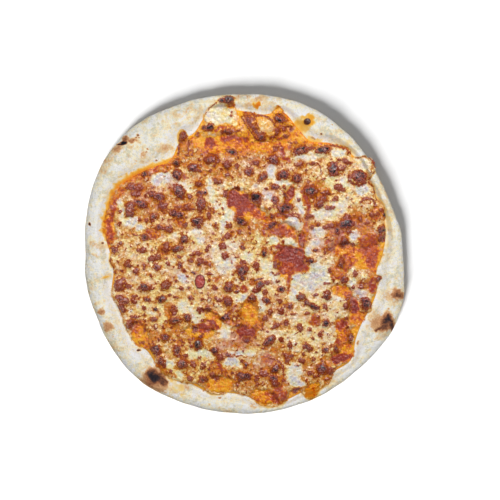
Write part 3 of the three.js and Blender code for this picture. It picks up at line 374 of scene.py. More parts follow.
# Lines in the colour: points, width, tone.
TONE_LINES = [
    ([(-124, 62), (-130, 54), (-132, 46), (-135, 38), (-138, 30), (-138, 22), (-134, 14)], 9, 0.74),
    ([(-118, 73), (-108, 78), (-95, 82), (-82, 86), (-70, 90)], 7, 0.66),
    ([(-128, 62), (-134, 52), (-138, 40), (-141, 30), (-140, 20)], 3, 0.6),
    ([(35, 108), (37, 102), (38, 98), (44, 93)], 4, 0.84),
    ([(48, 66), (45, 59), (42, 52)], 5, 0.84),
    ([(57, 62), (61, 55), (64, 48), (63, 42)], 3.5, 0.84),
    ([(19, 27), (18, 20)], 2.5, 0.85),
    ([(-27, -108), (-25, -113), (-23, -117)], 2.5, 0.85),
    ([(92, -92), (90, -98)], 3, 0.84),
    ([(-3, -52), (0, -57), (3, -62)], 2, 0.42),
    ([(61, -1), (64, 3), (66, 7)], 2, 0.08),
    ([(-36, 74), (-34, 64), (-32, 55), (-28, 48)], 6, 0.12),
    ([(-20, 50), (-16, 41), (-20, 33), (-22, 25)], 8, 0.1),
    ([(-125, 53), (-124, 44), (-122, 36), (-119, 28)], 4, 0.12),
    ([(60, 111), (75, 110), (92, 110), (103, 106)], 4, 0.56),
    ([(-40, 100), (-20, 98), (0, 100), (20, 102)], 5, 0.55),
    ([(0, 24), (6, 16), (10, 8)], 3, 0.46),
    ([(40, -38), (42, -48), (36, -56)], 3, 0.4),
    ([(110, -98), (106, -106), (98, -109)], 3, 0.66),
    ([(-88, -112), (-83, -116), (-78, -120)], 5, 0.6),
]

# Thin browned lines and the rims of burst blisters: points, width, how burnt.
BURNT_LINES = [
    ([(-36, 100), (-28, 99), (-26, 93), (-31, 87)], 2, 0.64),
    ([(-41, 137), (-37, 144), (-30, 150), (-22, 152)], 1.1, 0.42),
    ([(-14, 124), (-9, 122), (-6, 124)], 2, 0.66),
    ([(2, 135.5), (6, 135)], 4, 0.7),
    ([(4, 134), (7, 128), (12, 121), (16, 117)], 4.4, 0.72),
    ([(-4, 136.5), (-1, 134), (2.5, 127), (7, 120), (11, 115), (17, 112), (21, 115)], 1.6, 0.5),
    ([(-3, 137.5), (4, 139), (9, 138), (11.5, 130), (15, 123.5), (20, 120.5), (22, 117)], 1.4, 0.5),
    ([(-2, 141), (4, 144), (9, 140), (10, 134)], 2, 0.5),
    ([(10, 138), (19, 139), (25, 135), (30, 129)], 1.6, 0.68),
    ([(26, 116), (31, 120), (32, 125)], 2.5, 0.66),
    ([(-56, 114), (-57, 106), (-56, 98)], 2, 0.6),
    ([(-67, 117), (-66, 108), (-67, 99)], 2, 0.6),
    ([(60, 108), (66, 104), (70, 107)], 1.6, 0.66),
    ([(86, 108), (94, 108), (101, 105), (105, 101)], 1.8, 0.64),
    ([(110, 96), (117, 97), (123, 98)], 1.6, 0.56),
    ([(123, 97), (129, 93), (130, 87)], 1.8, 0.5),
    ([(120, 73), (127, 76), (129, 82)], 1.4, 0.6),
    ([(123, 72), (129, 66), (131, 60), (131, 54)], 1.6, 0.58),
    ([(104, 78), (106, 71), (114, 69), (121, 71)], 2.5, 0.6),
    ([(115, 51), (120, 55), (127, 55), (131, 49)], 2.5, 0.62),
    ([(72, 91), (76, 87), (76, 82)], 1.6, 0.6),
    ([(31, 52), (36, 40), (44, 39), (50, 41), (54, 38)], 1.8, 0.74),
    ([(40, 37), (47, 38), (54, 36)], 1.6, 0.7),
    ([(9, -27), (14, -25), (18, -24)], 1.6, 1.0),
    ([(27, -18), (30, -21), (34, -19)], 1.6, 0.84),
    ([(54, -39), (58, -41), (61, -46)], 1.6, 0.7),
    ([(95, -47), (101, -46), (105, -50), (105, -57)], 1.4, 0.5),
    ([(-129, -36), (-125, -37), (-121, -34)], 1.6, 0.84),
    ([(-134, -4), (-135, -10), (-132, -14)], 1.8, 0.7),
    ([(-66, -86), (-60, -89)], 1.6, 0.74),
    ([(-9, -103), (-4, -101), (1, -104)], 1.2, 0.6),
    ([(24, -104), (32, -106), (38, -112), (39, -121)], 1.6, 0.64),
    ([(50, -80), (54, -77), (58, -80)], 1.2, 0.5),
    ([(-112, 20), (-108, 18), (-104, 19)], 1.4, 0.6),
    ([(-38, 48), (-34, 44), (-31, 46)], 1.4, 0.56),
]

# Where the topping's colour leans to pink, or to yellow if the last value is below 0: middle, half
# sizes, turn, amount.
BLUSHES = [
    (78, 14, 20, 20, 0, 0.6), (64, -24, 20, 14, 0, 0.1), (-12, -88, 14, 10, 0, 0.8),
    (-14, -106, 12, 7, 0, 0.6), (22, -106, 14, 8, 0, 0.7), (-84, 70, 16, 10, 0, 0.5),
    (22, 58, 12, 10, 0, 0.7), (113, -40, 10, 9, 0, 0.9), (-100, 55, 22, 12, 0, 0.4),
    (-60, -20, 14, 10, 0, 0.4), (108, 26, 12, 12, 0, 0.5), (44, 36, 18, 12, 0, 0.6),
    (-26, 2, 20, 18, 0, 0.4), (30, -60, 20, 16, 0, 0.3), (-26, 141, 16, 12, 0, -0.2),
    (10, 92, 40, 10, 0, 0.5), (62, -88, 28, 24, 0, -0.3), (-84, -52, 30, 26, 0, -0.4),
    (-40, -118, 34, 14, 0, -0.9), (-60, -88, 22, 12, 0, -0.7), (84, 66, 16, 12, 0, -0.5),
    (14, 12, 12, 10, 0, -0.7), (8, 108, 52, 10, 3, -0.6), (4, -58, 12, 12, 0, -0.6),
    (18, -142, 14, 9, 0, -0.9), (66, -136, 10, 10, 0, -0.8), (-96, 5, 26, 16, 0, -0.3),
]

# ---------------------------------------------------------------- the raster and its noise

REACH = 172.0
CELL = 0.5
COUNT = int(2 * REACH / CELL) + 1
AXIS = np.linspace(-REACH, REACH, COUNT)
GX, GY = np.meshgrid(AXIS, AXIS)
NOISE_GAIN = 1.5  # brings noise to about -1 to 1
CLOUD_GAIN = 0.7  # brings a cloud to about -0.5 to 0.5
OCTAVE_SHARE = 0.55  # of a layer's height, for the next finer one


def smooth(t):
    """0 up to 0, 1 from 1 on, and an even S-curve between."""
    u = np.clip(t, 0.0, 1.0)
    return u * u * (3 - 2 * u)


def fading(d, full, none):
    """1 up to the distance full, falling to 0 at the distance none."""
    return smooth((none - d) / (none - full))


def field(value=0.0):
    """A raster with one value everywhere."""
    return np.full((COUNT, COUNT), value)


def slope_noise(size, seed):
    """Smooth noise from about -1 to 1 on the raster, whose bumps are about size millimetres wide."""
    random = np.random.default_rng(seed)
    a = random.uniform(0, TURN)
    u = (GX * math.cos(a) - GY * math.sin(a)) / size
    v = (GX * math.sin(a) + GY * math.cos(a)) / size
    i, j = np.floor(u).astype(int), np.floor(v).astype(int)
    f, g = u - i, v - j
    i -= i.min()
    j -= j.min()
    lean = random.uniform(0, TURN, (i.max() + 2, j.max() + 2))
    lean_x, lean_y = np.cos(lean), np.sin(lean)

    def corner(p, q):
        return lean_x[i + p, j + q] * (f - p) + lean_y[i + p, j + q] * (g - q)

    s, t = smooth(f), smooth(g)
    low = corner(0, 0) * (1 - s) + corner(1, 0) * s
    high = corner(0, 1) * (1 - s) + corner(1, 1) * s
    return NOISE_GAIN * (low * (1 - t) + high * t)


def cloud(size, seed, octaves=3):
    """Noise of several sizes added up, each half as wide as the one before."""
    shares = [OCTAVE_SHARE**k for k in range(octaves)]
    layers = [s * slope_noise(size / 2**k, seed + k) for k, s in enumerate(shares)]
    return CLOUD_GAIN * sum(layers) / sum(shares)


RAGGED = cloud(4.0, 11)
RAGGED_FINE = cloud(1.6, 21, 2)
# How far drawn marks are bent along x and y, and the sizes of mark below which they are bent less.
BEND_COARSE = 9.0 * cloud(11.0, 121, 2), 9.0 * cloud(11.0, 131, 2)
BEND_FINE = 3.6 * cloud(3.4, 141, 3), 3.6 * cloud(3.4, 151, 3)
COARSE_FULL = 14.0
FINE_FULL = 3.0
BEND_MARGIN = 3.0  # raster added round a mark, because bending can widen it


def bent(part, size, amount):
    """The places of the raster's part, bent a little, so that what is drawn there isn't even."""
    coarse, fine = amount * min(1.0, size / COARSE_FULL), amount * min(1.0, size / FINE_FULL)
    x = GX[part] + coarse * BEND_COARSE[0][part] + fine * BEND_FINE[0][part]
    y = GY[part] + coarse * BEND_COARSE[1][part] + fine * BEND_FINE[1][part]
    return x, y


def sample(values, x, y):
    """The raster's values at points, by the four nearest cells."""
    u = np.clip((x + REACH) / CELL, 0, COUNT - 1.001)
    v = np.clip((y + REACH) / CELL, 0, COUNT - 1.001)
    i, j = u.astype(int), v.astype(int)
    f, g = u - i, v - j
    low = values[j, i] * (1 - f) + values[j, i + 1] * f
    high = values[j + 1, i] * (1 - f) + values[j + 1, i + 1] * f
    return low * (1 - g) + high * g


def window(x_low, x_high, y_low, y_high):
    """The part of the raster that covers a rectangle."""

    def span(low, high):
        first = max(0, int((low + REACH) / CELL))
        return slice(first, min(COUNT, int((high + REACH) / CELL) + 2))

    return span(y_low, y_high), span(x_low, x_high)


def oval(x, y, long, wide, turn, reach=1.7, ragged=1.0):
    """The raster's part near an oval, and there a distance that is 0 at its middle and 1 on its edge."""
    far = reach * max(long, wide) + BEND_MARGIN * ragged
    part = window(x - far, x + far, y - far, y + far)
    px, py = bent(part, math.sqrt(long * wide), ragged)
    return part, oval_distance(px - x, py - y, long, wide, turn)


def oval_distance(dx, dy, long, wide, turn):
    """How far places lie from an oval's middle, in its half sizes."""
    a = math.radians(turn)
    u = (dx * math.cos(a) + dy * math.sin(a)) / long
    v = (dy * math.cos(a) - dx * math.sin(a)) / wide
    return np.hypot(u, v)


def line_distance(x, y, start, end):
    """How far places lie from the straight line between two points."""
    dx, dy = end[0] - start[0], end[1] - start[1]
    t = np.clip(((x - start[0]) * dx + (y - start[1]) * dy) / (dx * dx + dy * dy), 0, 1)
    return np.hypot(x - start[0] - t * dx, y - start[1] - t * dy)


def crosses_right(x, y, start, end):
    """Whether a level line from each place towards +X crosses the line between two points."""
    (x0, y0), (x1, y1) = start, end
    if y0 == y1:
        return np.zeros(np.shape(x), bool)
    return ((y0 > y) != (y1 > y)) & (x < x0 + (y - y0) * (x1 - x0) / (y1 - y0))


def stroke(points, width, ragged=1.0):
    """The raster's part near a line, and there the distance to it in half widths."""
    xs, ys = zip(*points)
    far = 2 * width + BEND_MARGIN
    part = window(min(xs) - far, max(xs) + far, min(ys) - far, max(ys) + far)
    px, py = bent(part, 2 * width, 0.7 * ragged)
    nearest = np.full(px.shape, np.inf)
    for start, end in zip(points, points[1:]):
        nearest = np.minimum(nearest, line_distance(px, py, start, end))
    return part, nearest / (width / 2) * (1 + ragged * RAGGED[part])


def ovals(table, reach=1.7, ragged=1.0):
    """For each oval of a table, the raster's part, the distance there, and the row's other values."""
    for x, y, long, wide, turn, *values in table:
        yield *oval(x, y, long, wide, turn, reach, ragged), *values


def strokes(table, ragged=1.0):
    """The same for each line of a table."""
    for points, width, *values in table:
        yield *stroke(points, width, ragged), *values


def dome(d):
    """1 in the middle, falling to 0 where the distance d is 1."""
    return np.where(d < 1, np.sqrt(np.maximum(0, 1 - d * d)) * smooth(2 * (1 - d)), 0)


def blister(d):
    """1 in the middle and round all over, falling to 0 where the distance d is 1."""
    return np.maximum(0, 1 - d * d) ** 1.3


def curve_between(values, i, f):
    """A closed Catmull-Rom curve through the values, at the share f of the way from value i on."""
    a, b, c, d = (values[(i + k) % len(values)] for k in (-1, 0, 1, 2))
    return b + 0.5 * f * (c - a + f * (2 * a - 5 * b + 4 * c - d + f * (3 * (b - c) + d - a)))


def around(values, angle):
    """The value at an angle of a ring of evenly spaced ones."""
    u = (angle / TURN % 1.0) * len(values)
    i = np.floor(u).astype(int)
    return curve_between(np.asarray(values, float), i, u - i)


def distance_inside(outline):
    """How far each raster point lies inside a closed outline, in millimetres, and negative outside."""
    nearest = field(np.inf)
    inside = np.zeros((COUNT, COUNT), bool)
    for start, end in zip(outline, outline[1:] + outline[:1]):
        nearest = np.minimum(nearest, line_distance(GX, GY, start, end))
        inside ^= crosses_right(GX, GY, start, end)
    return np.where(inside, nearest, -nearest)


def rounded(points, steps=4):
    """A closed outline through the points, with rounded corners."""
    values = np.array(points, float)
    shares = np.arange(steps) / steps
    return [tuple(curve_between(values, i, f)) for i in range(len(points)) for f in shares]


# ---------------------------------------------------------------- heights

ANGLE = np.arctan2(GY, GX)
EDGE_WOBBLE = 0.18
EDGE_WAVES = [(17, 1.0, 1.0), (29, 0.7, 2.6), (47, 0.6, 0.0)]  # how many, height, start
SLOW_WAVES = [  # height, slopes along x and y, start
    (0.5, 0.071, 0.043, 1.3), (0.3, -0.067, 0.118, 4.1), (0.2, 0.161, 0.137, 2.2),
]


def unevenness(x, y):
    """Slow waves from -1 to 1."""
    return sum(height * np.sin(u * x + v * y + start) for height, u, v, start in SLOW_WAVES)


def crust_radius(angle):
    fine = sum(height * np.sin(number * angle + start) for number, height, start in EDGE_WAVES)
    return around(CRUST_RADII, angle) + EDGE_WOBBLE * fine


def foot_radius(angle):
    return around(SAUCE_RADII, angle) + FOOT_CLEARANCE


def rim_height(x, y, t, width):
    """Top of the rim, where t runs from 0 at its foot to 1 at its edge."""
    crest = CREST_LEAST + CREST_PER_WIDTH * width + CREST_WAVE * unevenness(x, y)
    inner = DOUGH_FLOOR + (crest - DOUGH_FLOOR) * smooth(t / CREST_AT)
    out = np.clip((t - CREST_AT) / (1 - CREST_AT), 0, 1)
    outer = EDGE_HEIGHT + (crest - EDGE_HEIGHT) * np.sqrt(1 - out**RIM_ROUNDNESS)
    fade = smooth(4 * t) * smooth(5 * (1 - t))
    bubbles = sum(h * dome(np.hypot(x - bx, y - by) / r) for bx, by, r, h in RIM_BUBBLES)
    return np.where(t < CREST_AT, inner, outer) + bubbles * fade


FOOT = foot_radius(ANGLE)
RIM_WIDTH = crust_radius(ANGLE) - FOOT
RIM_T = np.clip((np.hypot(GX, GY) - FOOT) / RIM_WIDTH, 0, 1)
DOUGH = np.where(RIM_T > 0, rim_height(GX, GY, RIM_T, RIM_WIDTH), DOUGH_FLOOR)
BED = np.maximum(SAUCE_TOP, DOUGH) + GAP

# REACHES says how far each place is from the cheese's ragged edge, and is negative outside it.
CHEESE_INSET = 0.8
OUTLINE_WANDER = 0.7  # of the wander that the pools' edges have
INSIDE = distance_inside(rounded(TOPPING_OUTLINE))
POOL = field(-np.inf)
for x, y, long, wide, turn in SAUCE_POOLS:
    part, d = oval(x, y, long, wide, turn, reach=2.5, ragged=0)
    POOL[part] = np.maximum(POOL[part], (1 - d) * min(long, wide))
part, d = stroke(OIL_CHANNEL, 2 * CHANNEL_DEPTH, ragged=0)
POOL[part] = np.maximum(POOL[part], (1 - d) * CHANNEL_DEPTH)
WANDER = 4.2 * RAGGED + 1.6 * RAGGED_FINE
REACHES = np.minimum(INSIDE - CHEESE_INSET + OUTLINE_WANDER * WANDER, WANDER - POOL)

# ---------------------------------------------------------------- marks in the cheese and sauce

# The rasters in small letters are painted step by step. Those in capitals are what the meshes read.
PLAIN_TONE = 0.34
tone = field(PLAIN_TONE)
burn = field()
halo = field()
rise = field()
BLUSH = field()

for part, d, value in ovals(BLUSHES):
    BLUSH[part] += value * fading(d, 0.5, 1.5)
for part, d, value in ovals(TONES):
    tone[part] += (value - tone[part]) * fading(d, 0.7, 1.3)
for part, d, value in strokes(TONE_LINES):
    tone[part] += (value - tone[part]) * fading(d, 0.5, 1.5)

BURN_FADE = 1.1  # how wide a spot's soft edge is
RIM_BURN = 0.5  # how burnt a spot's rim is at most
HALO_WIDTH = 2.8
HALO_GAIN = 1.2
SWELLING_SHARE = 0.8  # of a swelling's height, because the spots on it add their own
# The height of a mark's blister, and how far out it starts, in the mark's half sizes.
SPOT_RISE, SPOT_RISE_BY_SIZE, SPOT_RISE_MOST, SPOT_FOOT = 0.5, 0.4, 2.4, 1.35
LINE_SIZE, LINE_RISE, LINE_FOOT = 1.5, 0.6, 1.6
SMALL_RISE, SMALL_FOOT = 0.4, 1.5


def scorch(part, d, strength, size):
    """A browned spot: its own strength in the middle, a dark rim that fades at its edge, and a golden
    ring of even width round it."""
    fade = min(1.0, BURN_FADE / size)
    middle = max(0.0, strength - RIM_BURN) * fading(d, 0.52, 0.92)
    edge = fading(d, 1 - 0.6 * fade, 1 + 0.4 * fade)
    burn[part] = np.maximum(burn[part], (min(strength, RIM_BURN) + middle) * edge)
    ring = min(1.0, HALO_GAIN * strength) * fading(d, 1, 1 + HALO_WIDTH / size)
    halo[part] = np.maximum(halo[part], ring)


for x, y, radius, height in SWELLINGS:
    part, d = oval(x, y, radius, radius, 0, ragged=0)
    rise[part] = np.maximum(rise[part], SWELLING_SHARE * height * blister(d))
for x, y, long, wide, turn, strength in SPOTS:
    part, d = oval(x, y, long, wide, turn, reach=3.0, ragged=0.75)
    size = math.sqrt(long * wide)
    scorch(part, d, strength, size)
    rise[part] += min(SPOT_RISE_MOST, SPOT_RISE + SPOT_RISE_BY_SIZE * size) * blister(d / SPOT_FOOT)
for part, d, strength in strokes(BURNT_LINES, ragged=0.6):
    scorch(part, d, strength, LINE_SIZE)
    rise[part] += LINE_RISE * blister(d / LINE_FOOT)

# Small blisters between the placed ones, close together where the cheese is golden.
SMALL_SPACING = 2.76  # least distance from a new one's middle to the edge of another
SMALL_TRIES = 9000
SMALL_UP_TO = 106.0  # beyond this is the band of oil
SMALL_INSIDE = 2.0  # from the cheese's edge
SMALL_UP_TO_BURN = 0.25
SMALL_OFF_GOLD = 0.12  # the share of the tries that stays where the cheese isn't golden
BURST_SHARE = 0.25
SPOT_SHARE = 0.8  # of a placed spot's longer half size that stays clear


def scatter_small():
    """Small blisters and, where the last value is true, burst ones that left a ring."""
    random = np.random.default_rng(5)
    kept = [(x, y, SPOT_SHARE * max(long, wide)) for x, y, long, wide, *_ in SPOTS]
    small = []
    for x, y in random.uniform(-145, 145, (SMALL_TRIES, 2)):
        here = tuple(int((v + REACH) / CELL) for v in (y, x))
        if REACHES[here] < SMALL_INSIDE or burn[here] > SMALL_UP_TO_BURN or y > SMALL_UP_TO:
            continue
        golden = smooth((tone[here] - 0.2) / 0.17) * fading(tone[here], 0.56, 0.66)
        if random.random() > SMALL_OFF_GOLD + (1 - SMALL_OFF_GOLD) * golden:
            continue
        other_x, other_y, other_size = np.array(kept).T
        if np.any(np.hypot(other_x - x, other_y - y) < SMALL_SPACING + other_size):
            continue
        burst = random.random() < BURST_SHARE
        size = random.uniform(0.7, 1.1 + 1.3 * golden) + 0.5 * burst
        strength = random.uniform(0.26, 0.46 + 0.26 * golden)
        wide = size * random.uniform(0.5, 1)
        turn = random.uniform(0, 180)
        kept.append((x, y, size))
        small.append((x, y, size, wide, turn, strength, burst))
    return small


for x, y, long, wide, turn, strength, burst in scatter_small():
    part, d = oval(x, y, long, wide, turn, reach=3, ragged=1.2)
    scorch(part, 0.5 + 2.2 * np.abs(d - 1) if burst else d, strength, long)
    rise[part] = np.maximum(rise[part], SMALL_RISE * (1 + long) * blister(d / SMALL_FOOT))


def blurred(values, width):
    """The raster's values smoothed over about width millimetres."""
    steps = np.arange(-int(2 * width / CELL), int(2 * width / CELL) + 1)
    weights = np.exp(-0.5 * (steps * CELL / width) ** 2)
    weights /= weights.sum()
    for axis in (0, 1):
        values = sum(w * np.roll(values, s, axis) for w, s in zip(weights, steps))
    return values


edge_share = smooth(REACHES / CHEESE_EDGE_WIDTH)
thickness = CHEESE_EDGE + (CHEESE_DEPTH - CHEESE_EDGE) * edge_share
threads = 1 - np.abs(3.4 * cloud(5.0, 161, 3))
lumps = rise + cloud(6.0, 41, 3) + 0.9 * cloud(2.4, 51, 2) + 0.5 * threads
CHEESE = np.minimum(BED + thickness + lumps * edge_share, HIGHEST)

# Oil gathers in the hollows and round the blisters, and the raised threads between stay pale; this
# is also painted shade, darker and more golden in the relief's hollows and paler on its raised parts.
HOLLOW_WIDTH = 2.0
HOLLOW_OIL_AND_SHADE_TONE = 0.12
OILY_TONE = 0.6  # what the cheese's thin edge leans to
EDGE_BAND = 2.2
hollow_oil_and_shade = np.clip(1.6 * (blurred(lumps, HOLLOW_WIDTH) - lumps), -1, 1)
golden_share = smooth((tone - 0.1) / 0.22) * fading(tone, 0.65, 0.8)
tone += golden_share * HOLLOW_OIL_AND_SHADE_TONE * hollow_oil_and_shade * (1 - smooth(3 * burn))
tone += (0.12 + 0.16 * golden_share) * cloud(4.0, 31, 3)
tone += 0.25 * smooth(1 - np.abs(REACHES) / EDGE_BAND) * np.maximum(0, OILY_TONE - tone)
TONE = np.clip(tone, 0, 1)
BURN = np.clip(burn * (1 + 0.5 * cloud(2.6, 171, 3)), 0, 1.05)
# The golden rings are deeper where the cheese is yellow or orange than where it is white.
ring_depth = 0.52 + 0.48 * smooth((tone - 0.24) / 0.26)
GOLD = np.clip(halo * ring_depth * (1 + 1.2 * cloud(4.0, 181, 3)), 0, 1)

# ---------------------------------------------------------------- marks in the crust

# Browned and burnt places on the rim: middle, half sizes, turn, strength from 0 to 1, softness.
RIM_MARKS = [
    (-121, 110.5, 4, 1.4, -10, 1.0, 0.5), (-119.5, 114.5, 4, 3.5, 0, 0.62, 0.7),
    (-112, 113, 6, 2.5, -10, 0.56, 0.8), (-105, 111, 4, 1.5, -20, 0.3, 0.8),
    (-127, 104, 6, 4.5, 30, 0.46, 0.9), (-133, 98, 3, 3, 0, 0.32, 1.0), (-114, 107, 5, 2, -20, 0.34, 1.0),
    (-101, 99, 5, 4, 0, 0.42, 0.9), (-98, 101.5, 1, 1, 0, 0.6, 0.6), (-97, 104.5, 1, 1, 0, 0.7, 0.5),
    (-100, 92, 5, 2, 0, 0.28, 1.0), (-107, 118, 1.6, 1.6, 0, 0.72, 0.5), (-108.5, 116, 1, 1, 0, 0.7, 0.5),
    (-105.5, 115.5, 1, 1, 0, 0.7, 0.5), (-88.5, 93.5, 1.2, 1, 0, 0.9, 0.4),
    (-108.5, 93, 0.9, 0.9, 0, 0.5, 0.5), (-110, 91, 0.9, 0.9, 0, 0.45, 0.5),
    (-80, 106, 8, 4.5, 0, 0.36, 1.0), (-101, 132, 6, 5, 0, 0.16, 1.0), (-80, 141, 6, 4, 0, 0.14, 1.0),
    (-155, 30, 1.2, 2.5, 15, 0.85, 0.5), (-142.5, 11, 1.5, 1, 0, 0.82, 0.5),
    (-150, 9, 7, 3.5, -10, 0.36, 0.9), (-144, 8, 4, 3, 0, 0.28, 1.0), (-150, -1, 6, 1.2, -15, 0.3, 0.8),
    (-151, 20, 4, 2.5, 0, 0.14, 1.0), (-139, -23, 5, 2.2, 10, 0.4, 1.0), (-149, -50, 2, 2, 0, 0.28, 0.8),
    (-152.5, -54, 1.2, 3, 30, 0.86, 0.5), (-143.5, -57.5, 5, 4, -15, 0.5, 0.4),
    (-136, -72.5, 6.5, 6.5, 0, 0.5, 0.5), (-112.5, -86, 2.2, 1.4, -50, 1.0, 0.4),
    (-106, -96, 2.6, 1.5, 0, 1.0, 0.4), (-126, -96, 4, 1.5, -35, 0.3, 1.0),
    (-130, -93, 2, 2, 0, 0.24, 1.0), (-116, -98, 3, 2, 0, 0.22, 1.0), (-101, -115, 5, 1.4, -25, 0.28, 1.0),
    (-103, -124, 4, 3, 0, 0.3, 1.0), (-90, -128, 16, 11, -35, 0.46, 1.0),
    (-90, -122, 10, 6.5, -38, 0.94, 0.9), (-94, -127, 9, 7, -30, 0.66, 1.0),
    (-83, -128, 7, 4, -42, 0.74, 0.8), (-85, -136, 9, 3.5, -25, 0.42, 0.8),
    (-74, -134, 5, 3, -20, 0.32, 1.0), (-79, -130, 3, 3, 0, 0.64, 0.8), (-63, -134, 5, 4, 0, 0.34, 1.0),
    (-63, -140, 4, 2, 0, 0.34, 1.0), (-57, -146, 6, 3, 0, 0.14, 1.0), (-41, -136.5, 2, 1.2, 0, 0.7, 0.5),
    (-25.5, -143.5, 1.5, 1, 0, 0.66, 0.5), (-35.5, -150, 1.3, 1.3, 0, 0.4, 0.6),
    (-26, -153, 2, 2, 0, 0.3, 0.9), (-18, -157, 6, 2, 0, 0.32, 1.0),
    (3, -139, 4, 3, 0, 0.34, 1.0), (9, -152, 5, 2, -10, 0.44, 1.0), (113, -89, 1, 3, -15, 0.6, 0.7),
    (149, -42, 11, 9, 0, 0.38, 1.0), (152, -41, 8, 7.5, 0, 0.62, 0.4), (152, -41, 4.6, 4.2, 0, 0.76, 0.6),
    (133, -69, 9, 11, 0, 0.42, 0.9), (141, -68, 10, 9, -30, 0.66, 0.7), (141, -65, 6, 7, -20, 0.84, 0.9),
    (139, -72, 7, 6, 0, 0.74, 0.8),
    (146, -70, 4, 6, -10, 0.8, 0.9), (137, -81, 8, 5, 20, 0.28, 1.0), (143, -55, 2, 1.5, 0, 0.44, 0.7),
    (138, -56, 8, 4, 0, 0.14, 1.0), (157, -8, 0.8, 0.8, 0, 0.4, 0.5), (135, 49, 3.5, 2.5, 0, 0.66, 0.8),
    (134, 63, 4, 6, 0, 0.26, 1.0), (21, 150, 5, 2.5, 0, 0.28, 1.0),
    (68, 116, 4, 1.4, -12, 0.62, 0.6), (76, 120, 1.3, 1.1, 0, 0.9, 0.4), (58, 117, 0.8, 1.2, 0, 0.7, 0.5),
    (87, 129, 1, 0.8, 0, 0.66, 0.5), (55, 137, 1.5, 1, 0, 0.3, 0.8), (47, 120, 0.9, 0.9, 0, 0.7, 0.5),
]
# Lines in the rim: points, width, how dark. The first four are burnt cracks, the others pale creases.
RIM_LINES = [
    ([(130, -77), (135, -73), (140, -66)], 2.6, 0.72),
    ([(142, -61), (147, -69), (148, -76)], 3.0, 0.82),
    ([(-92, -117), (-85, -122), (-78, -128)], 1.8, 0.76),
    ([(-126, 109), (-119, 111)], 2.6, 1.0),
    ([(147, -14), (139, -21), (131, -31)], 1.8, 0.14),
    ([(151, -20), (144, -27), (137, -36)], 1.6, 0.12),
    ([(128, -92), (124, -84), (121, -78)], 1.8, 0.12),
    ([(135, -86), (128, -88), (120, -90)], 1.6, 0.12),
    ([(116, -106), (121, -98), (127, -94)], 1.8, 0.12),
    ([(146, 14), (150, 4), (147, -6)], 1.8, 0.14),
    ([(-103, -100), (-99, -106), (-100, -112)], 1.8, 0.14),
    ([(-122, -82), (-118, -90), (-112, -96)], 1.6, 0.12),
]
# Warm zones of the baked dough, large and soft: middle, half sizes, turn, strength.
RIM_WARMTH = [
    (-140, 87, 6, 14, -30, 0.2), (-112, 96, 18, 10, 40, 0.08), (-60, 137, 26, 10, 20, 0.14),
    (-5, 153, 30, 7, 0, 0.12), (25, 153, 20, 6, 0, 0.1), (62, 140, 26, 8, -30, 0.06),
    (100, 114, 18, 8, -45, 0.07), (137, 68, 6, 22, 12, 0.14), (142, 30, 10, 30, 0, 0.1),
    (-151, 12, 8, 12, 0, 0.08), (-147, -40, 8, 16, 0, 0.08), (-132, -80, 14, 28, 30, 0.12),
    (-70, -138, 18, 8, -20, 0.14), (-20, -148, 26, 6, 0, 0.08), (88, -128, 12, 6, 40, 0.1),
    (118, -100, 24, 14, 45, -0.12), (138, -60, 14, 12, 0, 0.06), (10, 150, 12, 6, 0, 0.14),
    (150, -20, 10, 24, 0, 0.07), (-88, -140, 16, 10, -30, 0.1),
]
# Oil that soaked into the crust: middle, half sizes, turn, strength.
OIL_STAINS = [
    (62, 132, 8, 7, 0, 0.62), (65, 133, 5, 6, 0, 0.75), (12, 149, 4, 3.5, 0, 1.0),
    (52, 124, 8, 12, -25, 0.6), (143, 33, 3.5, 9, 0, 0.4), (142, 12, 3, 7, 0, 0.34),
    (-139, -23, 3, 1.5, 0, 0.6),
    (66, 114, 12, 4, 0, 0.5), (100, 110, 10, 4, -20, 0.3), (108, 100, 4, 5, 0, 0.3),
    (-121, 77.5, 3, 2.5, 0, 0.3), (70, -140, 5, 7, 40, 0.35), (88, -128, 6, 3, 40, 0.25),
    (-74, -125, 7, 3, -35, 0.44), (-67, -134, 6, 4, -30, 0.34), (-64, -141, 3, 2, 0, 0.4),
]

tan = field(0.05)
oil = field()
for part, d, value in ovals(RIM_WARMTH, ragged=1.3):
    tan[part] += value * fading(d, 0.3, 1.5)
for part, d, value, soft in ovals(RIM_MARKS, reach=2.4, ragged=0.9):
    tan[part] = np.maximum(tan[part], value * fading(d, 0.6 - 0.5 * soft, 1 + soft))
for part, d, value in ovals(OIL_STAINS, ragged=1.4):
    oil[part] = np.maximum(oil[part], value * fading(d, 0.6, 1.5))

# How wide the rim of oil round the topping is, every 7.5 degrees. It is wide at the upper left.
OIL_RIM = [
    1, 2, 2, 3, 2, 2, 2, 2, 3, 4, 2, 1, 1, 1, 1, 2, 3, 5, 7, 8, 8, 6, 5, 4,
    3, 2, 1, 1, 1, 1, 1, 1, 1, 1, 2, 2, 2, 2, 2, 2, 2, 1, 1, 1, 1, 1, 1, 1,
]
rim_width = around(OIL_RIM, ANGLE)
outside = -INSIDE * (1 + 1.4 * RAGGED)
oil = np.maximum(oil, smooth(1 - outside / rim_width) * np.clip(0.25 + 0.1 * rim_width, 0, 0.9))

# The rim's relief is uneven, and each crack or crease is a groove, deeper where it is darker.
CREASE_DEPTH, CREASE_DEPTH_BY_VALUE = 0.25, 0.7
RIM_RELIEF = smooth(5 * RIM_T) * smooth(8 * (1 - RIM_T))
RIM_RELIEF *= 1.1 * cloud(14.0, 71, 3) + 0.6 * cloud(3.5, 81, 2)
for part, d, value in strokes(RIM_LINES):
    tan[part] = np.maximum(tan[part], value * fading(d, 0.2, 2.2))
    RIM_RELIEF[part] -= (CREASE_DEPTH + CREASE_DEPTH_BY_VALUE * value) * fading(d, 0, 1.5)

TAN = np.clip(tan + 0.16 * cloud(9.0, 61, 3), 0, 1)
OIL = np.clip(oil, 0, 1)

# ---------------------------------------------------------------- meshes


